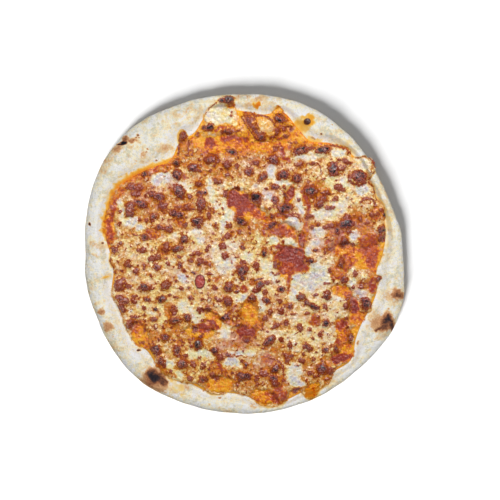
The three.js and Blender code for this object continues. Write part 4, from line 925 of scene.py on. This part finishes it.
def mesh_piece(name, points, triangles, marks, material):
    """A piece from points in millimetres and triangles, with a number for each mark at each point."""
    mesh = bpy.data.meshes.new(name)
    mesh.vertices.add(len(points))
    mesh.vertices.foreach_set("co", (np.asarray(points) * MM).astype(np.float32).ravel())
    mesh.loops.add(3 * len(triangles))
    mesh.loops.foreach_set("vertex_index", np.asarray(triangles, np.int32).ravel())
    mesh.polygons.add(len(triangles))
    mesh.polygons.foreach_set("loop_start", np.arange(0, 3 * len(triangles), 3, dtype=np.int32))
    mesh.update(calc_edges=True)
    mesh.validate()
    mesh.shade_smooth()
    for mark, values in marks.items():
        layer = mesh.attributes.new(mark, "FLOAT", "POINT")
        layer.data.foreach_set("value", np.asarray(values, np.float32))
    mesh.materials.append(material)
    piece = bpy.data.objects.new(name, mesh)
    bpy.context.scene.collection.objects.link(piece)
    return piece


def dress(piece, node):
    """The piece rides on the pizza's one body and takes the place of a solid."""
    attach(piece, "root")
    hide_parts(node)


def turned_mesh(sectors, rows):
    """Points and triangles of a closed form: rows(angle) gives x, y and z of each row, from the middle
    of the top out to the edge and back to the middle of the bottom."""
    angle = np.arange(sectors) / sectors * TURN
    places = np.stack(rows(angle), -1)
    ring = places[1:-1].reshape(-1, 3)
    top, bottom = len(ring), len(ring) + 1
    points = np.vstack([ring, places[0, 0], places[-1, 0]])
    k = np.arange(sectors)
    n = (k + 1) % sectors
    faces = [np.stack([np.full(sectors, top), k, n], -1)]
    last = (len(places) - 3) * sectors
    for a in range(0, last, sectors):
        b = a + sectors
        faces.append(np.stack([a + k, b + k, b + n], -1))
        faces.append(np.stack([a + k, b + n, a + n], -1))
    faces.append(np.stack([last + k, np.full(sectors, bottom), last + n], -1))
    return points, np.vstack(faces)


def ring_rows(angle, rings):
    """The rows of a turned mesh from the radius and height of each ring, one number or one an angle."""
    radius, height = (np.array([ring[k] + 0 * angle for ring in rings]) for k in (0, 1))
    return radius * np.cos(angle), radius * np.sin(angle), height


def net(spacing, reach):
    """Points of an even triangular net and its triangles, anticlockwise."""
    row_step = spacing * math.sqrt(3) / 2
    rows, columns = 2 * int(reach / row_step) + 1, 2 * int(reach / spacing) + 1
    row, column = np.mgrid[0:rows, 0:columns]
    x = (column - columns // 2 + (row % 2) / 2) * spacing
    y = (row - rows // 2) * row_step
    index = row * columns + column
    a, b = index[:-1, :-1], index[:-1, 1:]
    c, d = index[1:, :-1], index[1:, 1:]
    even = (row[:-1, :-1] % 2 == 0).ravel()
    quad = np.stack([a, b, c, d], -1).reshape(-1, 4)
    first = np.where(even[:, None], quad[:, [0, 1, 2]], quad[:, [0, 1, 3]])
    second = np.where(even[:, None], quad[:, [1, 3, 2]], quad[:, [0, 3, 2]])
    return x.ravel(), y.ravel(), np.vstack([first, second])


NET_REACH = REACH - 3
NET_LEAST = 0.12  # no point of a net lies nearer to its cut than this share of the spacing


def reach_of(x, y):
    return sample(REACHES, x, y)


def clipped_net(spacing):
    """The net cut along the cheese's edge: points, triangles and boundary edges."""
    x, y, triangles = net(spacing, NET_REACH)
    reach = reach_of(x, y)
    least = NET_LEAST * spacing
    reach = np.where(reach > 0, np.maximum(reach, least), np.minimum(reach, -least))
    inside = reach > 0
    count = inside[triangles].sum(1)
    mixed = triangles[(count == 1) | (count == 2)]
    alone = inside[mixed] == (inside[mixed].sum(1) == 1)[:, None]
    lone = alone.argmax(1)
    rows = np.arange(len(mixed))
    a, b, c = (mixed[rows, (lone + k) % 3] for k in range(3))
    pairs = np.vstack([np.sort(np.stack([a, b], -1), 1), np.sort(np.stack([a, c], -1), 1)])
    edges, where = np.unique(pairs, axis=0, return_inverse=True)
    start, end = edges.T
    t = reach[start] / (reach[start] - reach[end])
    cut_x = x[start] + t * (x[end] - x[start])
    cut_y = y[start] + t * (y[end] - y[start])
    ab, ac = where.reshape(2, -1) + len(x)
    single = inside[a]
    kept = [triangles[count == 3], np.stack([a, ab, ac], -1)[single]]
    kept.append(np.stack([ab, b, c], -1)[~single])
    kept.append(np.stack([ab, c, ac], -1)[~single])
    border = np.vstack([np.stack([ab, ac], -1)[single], np.stack([ac, ab], -1)[~single]])
    all_x, all_y = np.concatenate([x, cut_x]), np.concatenate([y, cut_y])
    faces = np.vstack(kept)
    used, renamed = np.unique(faces, return_inverse=True)
    lookup = np.full(len(all_x), -1)
    lookup[used] = np.arange(len(used))
    return all_x[used], all_y[used], renamed.reshape(-1, 3), lookup[border]


def islands(count, triangles):
    """The number of the island that each point belongs to, by joining neighbours until none changes."""
    label = np.arange(count)
    while True:
        low = label[triangles].min(1)
        new = label.copy()
        for k in range(3):
            np.minimum.at(new, triangles[:, k], low)
        new = new[new]
        if np.array_equal(new, label):
            return label
        label = new


BOTTOM_SPACING = 6.0
BOTTOM_INSIDE = 2.7  # how far the bottom's coarse points keep from the cheese's edge
SAME_PLACE = 1e-7


def sheet_bottom(x, y, border):
    """A coarse bottom within the boundary edges: the boundary's points, for each of the bottom's points
    the given ones that it came from, the bottom's points, and its triangles."""
    coarse_x, coarse_y, _ = net(BOTTOM_SPACING, NET_REACH)
    keep = reach_of(coarse_x, coarse_y) > BOTTOM_INSIDE
    rim, renamed = np.unique(border, return_inverse=True)
    edges = renamed.reshape(-1, 2)
    px = np.concatenate([x[rim], coarse_x[keep]])
    py = np.concatenate([y[rim], coarse_y[keep]])
    given = list(zip(px.tolist(), py.tolist()))
    points, _, faces, origin = delaunay_2d_cdt(given, edges.tolist(), [], 0, SAME_PLACE)[:4]
    faces = np.array([face for face in faces if len(face) == 3])
    points = np.array([tuple(point) for point in points])
    middle_x, middle_y = points[faces].mean(1).T
    inside = np.zeros(len(faces), bool)
    for i, j in edges:
        inside ^= crosses_right(middle_x, middle_y, given[i], given[j])
    return rim, origin, points, faces[inside]


def topping_marks(points):
    """What the toppings' materials read at each point."""
    fields = {"tone": TONE, "burn": BURN, "gold": GOLD, "blush": BLUSH}
    return {mark: sample(values, points[:, 0], points[:, 1]) for mark, values in fields.items()}


def sheet_piece(name, x, y, triangles, border, material):
    """A closed sheet of cheese: its top follows the heights, its sides and bottom the bed."""
    top = sample(CHEESE, x, y)
    rim, origin, flat, faces = sheet_bottom(x, y, border)
    top[rim] = sample(BED, x[rim], y[rim]) + CHEESE_EDGE
    count = len(x)
    bottom_z = sample(BED, flat[:, 0], flat[:, 1])
    points = np.vstack([np.stack([x, y, top], -1), np.column_stack([flat, bottom_z])])
    came_from = [(first[0], k) for k, first in enumerate(origin) if first]
    below = {int(rim[i]): count + k for i, k in came_from if i < len(rim)}
    walls = []
    for a, b in border.tolist():
        walls.append((below[a], below[b], b))
        walls.append((below[a], b, a))
    bottom = (faces + count)[:, ::-1]
    whole = np.vstack([triangles, walls, bottom])
    return mesh_piece(name, points, whole, topping_marks(points), material)


# ---------------------------------------------------------------- materials


def srgb(red, green, blue):
    """The colour that a screen shows for three numbers up to 255."""

    def linear(v):
        v /= 255
        return v / 12.92 if v <= 0.04045 else ((v + 0.055) / 1.055) ** 2.4

    return linear(red), linear(green), linear(blue), 1.0


# The mix node has several sockets of each name, so those for colours go by number.
MIX_FIRST_COLOUR, MIX_SECOND_COLOUR, MIX_COLOUR = 6, 7, 2


class Surface:
    """A node-based material, built up by small steps."""

    def __init__(self, name, specular=0.2, roughness=0.5, coat=0.0, coat_roughness=0.2, coat_ior=1.5):
        self.material = bpy.data.materials.new(name)
        self.material.use_nodes = True
        tree = self.material.node_tree
        self.nodes, self.links = tree.nodes, tree.links
        self.shader = self.nodes["Principled BSDF"]
        self.shader.inputs["Specular IOR Level"].default_value = specular
        self.shader.inputs["Roughness"].default_value = roughness
        self.shader.inputs["Coat Weight"].default_value = coat
        self.shader.inputs["Coat Roughness"].default_value = coat_roughness
        self.shader.inputs["Coat IOR"].default_value = coat_ior
        self.place = self.nodes.new("ShaderNodeTexCoord").outputs["Object"]

    def feed(self, socket, value):
        """Set a socket to a number or a colour, or link another node's result to it."""
        if isinstance(value, (int, float, tuple)):
            socket.default_value = value
        else:
            self.links.new(value, socket)

    def mark(self, name):
        """A number that the mesh holds for each point."""
        node = self.nodes.new("ShaderNodeAttribute")
        node.attribute_name = name
        return node.outputs["Fac"]

    def noise(self, size_mm, detail=2.0, roughness=0.5):
        """Noise with bumps of a size. The node's values keep to about 0.3 to 0.7, and are spread here
        to about 0 to 1."""
        node = self.nodes.new("ShaderNodeTexNoise")
        node.inputs["Scale"].default_value = 1 / (size_mm * MM)
        node.inputs["Detail"].default_value = detail
        node.inputs["Roughness"].default_value = roughness
        self.links.new(self.place, node.inputs["Vector"])
        return self.math("MULTIPLY_ADD", node.outputs["Fac"], 2.6, -0.8)

    def math(self, operation, *values):
        node = self.nodes.new("ShaderNodeMath")
        node.operation = operation
        for socket, value in zip(node.inputs, values):
            self.feed(socket, value)
        return node.outputs["Value"]

    def product(self, first, second):
        return self.math("MULTIPLY", first, second)

    def wobbled(self, value, noise, amount):
        """value + amount · (noise − ½)"""
        return self.math("MULTIPLY_ADD", self.math("SUBTRACT", noise, 0.5), amount, value)

    def spread(self, value, low, high, to_low=0.0, to_high=1.0):
        """An S-curve from to_low, where the value is low, to to_high, where it is high."""
        node = self.nodes.new("ShaderNodeMapRange")
        node.interpolation_type = "SMOOTHSTEP"
        self.links.new(value, node.inputs["Value"])
        limits = {"From Min": low, "From Max": high, "To Min": to_low, "To Max": to_high}
        for socket, number in limits.items():
            node.inputs[socket].default_value = number
        return node.outputs["Result"]

    def ramp(self, value, stops):
        """The colour for a value, from stops that each hold a value, red, green and blue."""
        node = self.nodes.new("ShaderNodeValToRGB")
        bar = node.color_ramp.elements
        while len(bar) < len(stops):
            bar.new(0.5)
        for element, (at, *colour) in zip(bar, stops):
            element.position = at
            element.color = srgb(*colour)
        self.links.new(value, node.inputs["Fac"])
        return node.outputs["Color"]

    def mix(self, share, first, second, blend="MIX"):
        """The first colour where the share is 0, turning to the second where it is 1."""
        node = self.nodes.new("ShaderNodeMix")
        node.data_type = "RGBA"
        node.blend_type = blend
        self.feed(node.inputs["Factor"], share)
        self.feed(node.inputs[MIX_FIRST_COLOUR], first)
        self.feed(node.inputs[MIX_SECOND_COLOUR], second)
        return node.outputs[MIX_COLOUR]

    def bump(self, height, distance_mm, onto=None):
        """Fine bumps in the surface, perhaps on top of others."""
        node = self.nodes.new("ShaderNodeBump")
        node.inputs["Strength"].default_value = 1.0
        node.inputs["Distance"].default_value = distance_mm * MM
        self.links.new(height, node.inputs["Height"])
        if onto is not None:
            self.links.new(onto, node.inputs["Normal"])
        self.links.new(node.outputs["Normal"], self.shader.inputs["Normal"])
        self.links.new(node.outputs["Normal"], self.shader.inputs["Coat Normal"])
        return node.outputs["Normal"]

    def set(self, socket, value):
        self.links.new(value, self.shader.inputs[socket])


# Colours for a tone, for how golden or burnt a place is, and so on: the value, red, green and blue.
CHEESE_TONES = [
    (0.0, 202, 204, 214), (0.1, 226, 222, 208), (0.24, 238, 216, 168), (0.36, 226, 182, 118),
    (0.44, 208, 148, 66), (0.51, 184, 112, 26), (0.57, 200, 118, 22), (0.62, 220, 134, 26),
    (0.67, 196, 92, 16), (0.73, 166, 66, 12), (0.8, 162, 54, 24), (0.9, 158, 56, 42), (1.0, 106, 28, 16),
]
NORTH_TONES = [
    (0.0, 208, 204, 208), (0.12, 230, 222, 200), (0.24, 236, 216, 168), (0.36, 236, 190, 116),
    (0.46, 222, 156, 66), (0.54, 238, 172, 28), (0.62, 224, 146, 18), (0.68, 196, 90, 14),
    (0.76, 172, 66, 24), (0.88, 160, 60, 48), (1.0, 106, 28, 16),
]
SAUCE_TONES = [
    (0.0, 220, 160, 50), (0.5, 236, 170, 32), (0.58, 234, 146, 8), (0.66, 212, 106, 6),
    (0.74, 190, 74, 16), (0.8, 166, 58, 24), (0.86, 152, 50, 34), (0.91, 158, 60, 46),
    (0.96, 136, 42, 34), (1.0, 106, 30, 24),
]
GOLD_TONES = [(0.0, 236, 192, 98), (0.35, 218, 148, 30), (0.65, 174, 86, 2), (1.0, 126, 42, 0)]
BURNT_TONES = [
    (0.0, 210, 138, 34), (0.2, 192, 96, 8), (0.34, 162, 58, 0), (0.46, 106, 32, 0), (0.56, 138, 46, 4),
    (0.66, 164, 82, 54), (0.76, 124, 56, 44), (0.87, 88, 44, 50), (0.95, 48, 26, 34), (1.0, 20, 12, 16),
]
YELLOW_TO_PINK = [
    (0.1, 255, 251, 208), (0.4, 255, 253, 240), (0.6, 255, 251, 250), (0.9, 251, 245, 255),
]
CRUST_TONES = [
    (0.0, 232, 231, 226), (0.05, 238, 233, 216), (0.13, 242, 231, 196), (0.25, 236, 210, 162),
    (0.4, 214, 166, 120), (0.55, 176, 118, 80), (0.7, 120, 76, 56), (0.85, 56, 46, 50),
    (1.0, 26, 26, 32),
]
OIL_TONES = [(0.0, 238, 224, 184), (0.35, 238, 208, 130), (0.65, 232, 170, 60), (1.0, 222, 122, 36)]
TOMATO_TONES = [(0.1, 150, 44, 38), (0.9, 196, 74, 58)]
TOMATO_EDGE = srgb(110, 34, 28)
DROP_TONES = [(0.1, 40, 18, 18), (0.9, 92, 44, 34)]
DROP_EDGE = srgb(150, 78, 30)
FLOOR_TONES = [(0.0, 250, 250, 250), (1.0, 253, 253, 253)]
FLOUR = srgb(236, 235, 238)
GREYISH_DOUGH = srgb(194, 192, 172)
DOUGH_GRAIN = srgb(190, 184, 172)
PINKISH = srgb(208, 160, 140)
# pale pink flecks on the browned spots: partly ash, partly a painted highlight on their tops
ASH_AND_HIGHLIGHT = srgb(208, 154, 152)
THIN_CHEESE = srgb(184, 122, 88)
SPECKS = srgb(146, 122, 122)
SAUCE_FLECKS = srgb(206, 148, 120)
# pale threads of cheese, which also serve as painted glints of oil
PALE_THREADS_AND_GLINTS = srgb(248, 238, 210)


def browned(surface, ground):
    """The ground's colour with golden rings, a blush and browned spots, mottled where dark with pale pink
    flecks that are partly ash and partly painted highlight.
    """
    coarse, fine = surface.noise(3.2, 3, 0.6), surface.noise(1.6, 3, 0.65)
    golden = surface.wobbled(surface.mark("gold"), coarse, 0.7)
    rings = surface.ramp(surface.wobbled(golden, fine, 0.5), GOLD_TONES)
    ringed = surface.mix(surface.spread(golden, 0.25, 0.65, 0.0, 0.95), ground, rings)
    blush = surface.math("MULTIPLY_ADD", surface.mark("blush"), 0.5, surface.noise(6.5, 3, 0.6))
    around_spots = surface.mix(surface.spread(blush, 0.65, 1.25, 0.0, 0.5), ringed, PINKISH)
    burn = surface.wobbled(surface.wobbled(surface.mark("burn"), fine, 0.34), coarse, 0.24)
    # pale pink flecks in the dark spots, partly ash and partly painted highlight
    flecks = surface.spread(surface.noise(1.4, 3, 0.65), 0.52, 0.88, 0.0, 0.65)
    ash_and_highlight_share = surface.product(surface.spread(burn, 0.5, 0.66), surface.spread(burn, 0.85, 1.0, 1.0, 0.3))
    dark = surface.mix(surface.product(flecks, ash_and_highlight_share), surface.ramp(burn, BURNT_TONES), ASH_AND_HIGHLIGHT)
    colour = surface.mix(surface.spread(burn, 0.2, 0.36), around_spots, dark)
    return surface.mix(1.0, colour, surface.ramp(blush, YELLOW_TO_PINK), "MULTIPLY")


def oily_bumps(surface, height):
    """Bumps wide enough that each one catches the light."""
    broad = surface.bump(surface.noise(2.8, 2), height)
    surface.bump(surface.noise(1.2, 1), 0.05, onto=broad)


def cheese_surface(name, tones):
    surface = Surface(name, specular=0.05, coat=1.0, coat_roughness=0.12, coat_ior=1.43)
    tone_mark = surface.mark("tone")
    fine, medium = surface.noise(1.5, 3, 0.6), surface.noise(5.0, 2, 0.5)
    tone_here = surface.wobbled(surface.wobbled(tone_mark, fine, 0.18), medium, 0.22)
    # brown shows through where pale cheese is thin, but less where it is white
    thin = surface.spread(surface.noise(3.4, 4, 0.75), 0.5, 0.86, 0.0, 0.48)
    off_white = surface.spread(tone_mark, 0.08, 0.24, 0.2, 1.0)
    pale = surface.spread(tone_here, 0.34, 0.55, 1.0, 0.0)
    thin_share = surface.product(thin, surface.product(off_white, pale))
    thinned = surface.mix(thin_share, surface.ramp(tone_here, tones), THIN_CHEESE)
    specks = surface.spread(surface.noise(1.5, 3, 0.6), 0.5, 0.78, 0.0, 0.8)
    white = surface.spread(tone_mark, 0.02, 0.15, 1.0, 0.3)
    specked = surface.mix(surface.product(specks, white), thinned, SPECKS)
    # pale threads of cheese, partly painted glints of oil on the ground
    threads = surface.spread(surface.noise(2.2, 3, 0.6), 0.62, 0.85, 0.0, 0.7)
    not_orange = surface.spread(tone_here, 0.4, 0.6, 1.0, 0.0)
    ground = surface.mix(surface.product(threads, not_orange), specked, PALE_THREADS_AND_GLINTS)
    surface.set("Base Color", browned(surface, ground))
    oily_bumps(surface, 0.45)
    return surface.material


def sauce_surface():
    surface = Surface("tomato_sauce", specular=0.05, coat=1.0, coat_roughness=0.12, coat_ior=1.48)
    tone_here = surface.wobbled(surface.mark("tone"), surface.noise(1.8, 4, 0.65), 0.2)
    tone_here = surface.wobbled(tone_here, surface.noise(4.5, 3, 0.6), 0.14)
    tone_here = surface.wobbled(tone_here, surface.noise(9.0, 2), 0.08)
    flecks = surface.spread(surface.noise(1.7, 3, 0.65), 0.35, 0.8, 0.0, 0.75)
    red = surface.spread(tone_here, 0.64, 0.78, 0.2, 1.0)
    sauce = surface.ramp(tone_here, SAUCE_TONES)
    flecked = surface.mix(surface.product(flecks, red), sauce, SAUCE_FLECKS, "MULTIPLY")
    surface.set("Base Color", browned(surface, flecked))
    oily_bumps(surface, 0.8)
    return surface.material


def crust_surface():
    surface = Surface("baked_dough", specular=0.05)
    tan_mark = surface.mark("tan")
    fine, medium = surface.noise(1.8, 4, 0.65), surface.noise(5.0, 3)
    large = surface.noise(16.0, 2)
    # the pale dough is mottled, and its dark marks keep their shapes
    dark_share = surface.spread(tan_mark, 0.16, 0.34)
    pale_share = surface.math("SUBTRACT", 1.0, dark_share)
    mottled = surface.wobbled(surface.wobbled(tan_mark, fine, 0.2), medium, 0.26)
    mottled = surface.product(pale_share, surface.wobbled(mottled, large, 0.16))
    marked = surface.product(dark_share, surface.wobbled(tan_mark, fine, 0.18))
    baked = surface.math("ADD", marked, mottled)
    pale = surface.spread(baked, 0.2, 0.4, 1.0, 0.0)
    flour = surface.wobbled(surface.noise(6.0, 3), surface.noise(2.0, 4, 0.7), 0.9)
    greyish = surface.wobbled(surface.noise(3.2, 4, 0.7), large, 0.6)
    layers = [
        (surface.spread(flour, 0.4, 1.0, 0.0, 0.9), FLOUR),
        (surface.spread(greyish, 0.5, 1.0, 0.0, 0.7), GREYISH_DOUGH),
        (surface.spread(surface.noise(1.3, 2, 0.6), 0.55, 0.95, 0.0, 0.4), DOUGH_GRAIN),
    ]
    dough = surface.ramp(baked, CRUST_TONES)
    for share, colour in layers:
        dough = surface.mix(surface.product(share, pale), dough, colour)
    oil_here = surface.wobbled(surface.mark("oil"), medium, 0.14)
    bare = surface.mix(surface.spread(oil_here, 0.12, 0.5), dough, surface.ramp(oil_here, OIL_TONES))
    sauce = surface.ramp(surface.wobbled(surface.mark("tone"), fine, 0.3), CHEESE_TONES)
    surface.set("Base Color", surface.mix(surface.mark("covered"), bare, browned(surface, sauce)))
    surface.set("Roughness", surface.spread(oil_here, 0.2, 0.7, 0.85, 0.4))
    surface.bump(surface.noise(1.8, 5, 0.7), 0.6)
    return surface.material


def lump_surface(name, noise_mm, tones, edge_from, edge_colour):
    """A wet lump that has another colour round its outline."""
    surface = Surface(name, coat=1.0, coat_roughness=0.2)
    skin = surface.ramp(surface.noise(noise_mm, 3), tones)
    at_edge = surface.spread(surface.mark("edge"), edge_from, 1.0)
    surface.set("Base Color", surface.mix(at_edge, skin, edge_colour))
    surface.bump(surface.noise(1.4, 3), 0.2)
    return surface.material


def floor_surface():
    surface = Surface("pale_floor", specular=0.0, roughness=1.0)
    surface.set("Base Color", surface.ramp(surface.noise(40.0), FLOOR_TONES))
    return surface.material


# ---------------------------------------------------------------- pieces

CRUST_SECTORS = 1300
FLOOR_ROWS = 5
RIM_ROWS = 44
RIM_ROWS_CLOSER = 1.35  # above 1, the rim's rows lie closer together towards its edge
OUTER_ROWS = [  # how far inward of the edge, and how high as a share of its height
    (0.35, 0.62), (1.1, 0.42), (0.3 * UNDER_ROUND, 0.28), (0.6 * UNDER_ROUND, 0.1), (UNDER_ROUND, 0.0),
]
UNDER_ROWS = 16
UNDER_FROM = DOUGH_FLOOR - 0.1  # from this height down the side turns into the browned underside
UNDER_FADE = 2.1
COVER_WANDER = 0.8  # how ragged the topping's edge is that shows on the dough


def crust_rows(angle):
    foot, edge = foot_radius(angle), crust_radius(angle)
    rings = [(share * foot, DOUGH_FLOOR) for share in np.linspace(0, 1, FLOOR_ROWS, endpoint=False)]
    for step in np.linspace(0, 1, RIM_ROWS):
        t = 1 - (1 - step) ** RIM_ROWS_CLOSER
        radius = foot + t * (edge - foot)
        x, y = radius * np.cos(angle), radius * np.sin(angle)
        relief = sample(RIM_RELIEF, x, y) * (t < 1)
        rings.append((radius, rim_height(x, y, t + 0 * angle, edge - foot) + relief))
    rings += [(edge - inward, share * EDGE_HEIGHT) for inward, share in OUTER_ROWS]
    under = np.linspace(1, 0, UNDER_ROWS + 1)[1:]
    rings += [(share * (edge - UNDER_ROUND), 0.0) for share in under]
    return ring_rows(angle, rings)


def make_crust():
    points, triangles = turned_mesh(CRUST_SECTORS, crust_rows)
    x, y, z = points.T
    below = smooth((UNDER_FROM - z) / UNDER_FADE)
    under = 0.2 + 0.5 * smooth(1.6 * (sample(cloud(26.0, 91, 2), x, y) + 0.14))
    marks = topping_marks(points)
    marks["tan"] = sample(TAN, x, y) * (1 - below) + under * below
    marks["oil"] = sample(OIL, x, y) * (1 - below)
    marks["covered"] = smooth(0.5 + sample(INSIDE + COVER_WANDER * WANDER, x, y)) * (1 - below)
    crust = mesh_piece("baked_crust", points, triangles, marks, crust_surface())
    dress(crust, "dough")


SAUCE_SECTORS = 500
SAUCE_ROWS = 180
SAUCE_BEVEL = 3.0
SAUCE_EDGE_ROWS = [  # how far inward of the edge, and how high as a share of the depth
    (SAUCE_BEVEL, 0.95), (0.6 * SAUCE_BEVEL, 0.85), (0.25 * SAUCE_BEVEL, 0.5), (0, 0.1),
]
SAUCE_LUMPS = 0.9 * cloud(5.0, 101, 3) + 0.4 * cloud(1.8, 111, 2)
SAUCE_SINK = 0.15
SAUCE_TONE_LEAST = 0.5


def sauce_rows(angle):
    edge = around(SAUCE_RADII, angle)
    rings = []
    for share in np.linspace(0, 1, SAUCE_ROWS, endpoint=False):
        radius = share * (edge - SAUCE_BEVEL)
        x, y = radius * np.cos(angle), radius * np.sin(angle)
        # under the cheese the lumps are low
        covered = smooth(sample(REACHES, x, y) / 2 + 0.5)
        relief = np.minimum(sample(SAUCE_LUMPS, x, y), 0.25 + 0.8 * (1 - covered))
        rings.append((radius, SAUCE_TOP + relief * (1 - 0.8 * covered) - SAUCE_SINK))
    bottom = DOUGH_FLOOR + GAP
    rings += [(edge - inward, bottom + share * SAUCE_DEPTH) for inward, share in SAUCE_EDGE_ROWS]
    rings += [(share * edge, bottom) for share in (1, 0.5, 0)]
    return ring_rows(angle, rings)


def make_sauce():
    points, triangles = turned_mesh(SAUCE_SECTORS, sauce_rows)
    marks = topping_marks(points)
    marks["tone"] = np.maximum(marks["tone"], SAUCE_TONE_LEAST)
    sauce = mesh_piece("sauce_layer", points, triangles, marks, sauce_surface())
    dress(sauce, "sauce")


CHEESE_SPACING = 0.9


def make_cheese():
    """The two largest islands of cheese. Smaller ones are left out."""
    x, y, triangles, border = clipped_net(CHEESE_SPACING)
    label = islands(len(x), triangles)
    names, sizes = np.unique(label, return_counts=True)
    largest = names[np.argsort(-sizes)]
    sheets = [
        ("cheese_sheet", "cheese", cheese_surface("melted_cheese", CHEESE_TONES)),
        ("cheese_sheet_north", "cheese_north", cheese_surface("oily_cheese", NORTH_TONES)),
    ]
    for island, (name, node, material) in zip(largest, sheets):
        mine = label == island
        renamed = np.cumsum(mine) - 1
        faces = renamed[triangles[mine[triangles[:, 0]]]]
        edge = renamed[border[mine[border[:, 0]]]]
        dress(sheet_piece(name, x[mine], y[mine], faces, edge, material), node)


LUMP_SECTORS = 72
LUMP_ROWS = 16
LUMP_ROUNDNESS = 2.2
LUMP_SIDE = 0.1  # the height of a lump's upright side
LUMP_UNEVENNESS = 0.25


def make_lump(name, middle, long, wide, turn, height, bed, material):
    """A low lump over an oval on the bed, with an edge mark that is 1 on its outline."""
    a = math.radians(turn)

    def place(share, angle):
        u, v = share * long * np.cos(angle), share * wide * np.sin(angle)
        x = middle[0] + u * math.cos(a) - v * math.sin(a)
        return x, middle[1] + u * math.sin(a) + v * math.cos(a)

    def lump_rows(angle):
        rows = []
        for share in np.linspace(0, 1, LUMP_ROWS):
            x, y = place(share, angle)
            swell = math.sqrt(max(0.0, 1 - share**LUMP_ROUNDNESS)) * height
            uneven = LUMP_UNEVENNESS * sample(RAGGED, x, y) * (1 - share)
            rows.append((x, y, sample(bed, x, y) + GAP + LUMP_SIDE + swell + uneven))
        for share in (1, 0):
            x, y = place(share, angle)
            rows.append((x, y, sample(bed, x, y) + GAP))
        return tuple(np.array(rows).swapaxes(0, 1))

    points, triangles = turned_mesh(LUMP_SECTORS, lump_rows)
    edge = oval_distance(points[:, 0] - middle[0], points[:, 1] - middle[1], long, wide, turn)
    return mesh_piece(name, points, triangles, {"edge": edge}, material)


def make_drop():
    skin = lump_surface("burnt_cheese", 1.4, DROP_TONES, 0.75, DROP_EDGE)
    drop = make_lump("burnt_drop", (62, 132), 3.7, 3.4, 20, 2.2, DOUGH, skin)
    dress(drop, "cheese_drop")


def make_tomato():
    skin = lump_surface("tomato_skin", 1.6, TOMATO_TONES, 0.6, TOMATO_EDGE)
    tomato = make_lump("tomato_piece", (-45, -27.5), 7.2, 5.3, 88, 2.0, CHEESE, skin)
    dress(tomato, "tomato")


make_crust()
make_sauce()
make_cheese()
make_drop()
make_tomato()

# ---------------------------------------------------------------- floor, lights and camera

FLOOR_SIDE = 3.0  # metres


def make_floor():
    side = FLOOR_SIDE / 2
    corners = [(-side, -side, 0), (side, -side, 0), (side, side, 0), (-side, side, 0)]
    mesh = bpy.data.meshes.new("floor")
    mesh.from_pydata(corners, [], [(0, 1, 2, 3)])
    mesh.materials.append(floor_surface())
    floor = bpy.data.objects.new("floor", mesh)
    bpy.context.scene.collection.objects.link(floor)
    floor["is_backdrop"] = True
    return floor


def gathered(name, objects):
    group = bpy.data.collections.new(name)
    for thing in objects:
        group.objects.link(thing)
    return group


def light_only(light, objects):
    """The light shines on these objects alone."""
    light.light_linking.receiver_collection = gathered(light.name + "_lit", objects)


def add_light(name, kind, energy, place, **settings):
    """A light that aims at the origin."""
    data = bpy.data.lights.new(name, kind)
    data.energy = energy
    for key, value in settings.items():
        setattr(data, key, value)
    light = bpy.data.objects.new(name, data)
    light.location = place
    light.rotation_euler = (-Vector(place)).to_track_quat("-Z", "Y").to_euler()
    bpy.context.scene.collection.objects.link(light)
    return light


# Soft lights stand round the food, the strongest beyond the top of the picture. None of them is
# where a flat face would mirror it to the camera, so only the bumps shine. The rim has an even
# light from above instead of the strongest one, because it shows next to no shading.
SOFT_LIGHTS = [
    # what it lights, bearing from +Y and angle from the vertical in degrees, metres away, watts,
    # metres wide
    ("toppings", 18, 38, 1.4, 15.0, 0.5), ("toppings", -60, 46, 1.4, 3.0, 0.4),
    ("toppings", 120, 46, 1.4, 1.6, 0.4), ("toppings", 200, 46, 1.4, 2.4, 0.5),
    ("toppings", 290, 46, 1.4, 2.0, 0.4), ("crust", 30, 3, 0.5, 2.3, 0.3),
    ("crust", 20, 30, 1.4, 5.6, 0.6), ("floor", 20, 10, 1.4, 2.2, 1.0),
]
SUN_STRENGTH = 7.0
SUN_PLACE = (-1.0, -1.8, 1.0)
SUN_ANGLE = math.radians(25)


def make_lights(groups):
    """The soft lights, and a low sun that shines on the floor alone and casts the crust's shade."""
    for number, (lit, bearing, tilt, distance, strength, size) in enumerate(SOFT_LIGHTS):
        turn, lean = math.radians(bearing), math.radians(tilt)
        across = distance * math.sin(lean)
        place = (across * math.sin(turn), across * math.cos(turn), distance * math.cos(lean))
        light = add_light(f"soft_light_{number}", "AREA", strength, place, shape="DISK", size=size)
        light_only(light, groups[lit])
    sun = add_light("floor_light", "SUN", SUN_STRENGTH, SUN_PLACE, angle=SUN_ANGLE)
    light_only(sun, groups["floor"])
    sun.light_linking.blocker_collection = gathered("casts_the_shade", groups["crust"])


WORLD_STRENGTH = 0.14


def make_world():
    world = bpy.data.worlds.new("studio")
    world.use_nodes = True
    background = world.node_tree.nodes["Background"]
    background.inputs["Color"].default_value = (1.0, 1.0, 1.0, 1.0)
    background.inputs["Strength"].default_value = WORLD_STRENGTH
    bpy.context.scene.world = world


LENS, SENSOR = 100.0, 36.0
VIEW_WIDTH = 0.5  # metres across the picture, at the height of the rim
PLANE_HEIGHT = 0.007


def make_camera():
    data = bpy.data.cameras.new("camera")
    data.lens = LENS
    data.sensor_width = SENSOR
    camera = bpy.data.objects.new("camera", data)
    camera.location = (0.005, 0.004, VIEW_WIDTH * LENS / SENSOR + PLANE_HEIGHT)
    bpy.context.scene.collection.objects.link(camera)
    bpy.context.scene.camera = camera
    bpy.context.scene.view_settings.view_transform = "Standard"


floor = make_floor()
food = [thing for thing in bpy.context.scene.objects if thing.type == "MESH" and thing is not floor]
crust = [thing for thing in food if thing.name == "baked_crust"]
toppings = [thing for thing in food if thing not in crust]
make_lights({"crust": crust, "toppings": toppings, "floor": [floor]})
make_world()
make_camera()

boxes = {"cad": cad_box, "visual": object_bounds()}
{name: [list(corner) for corner in box] for name, box in boxes.items()}
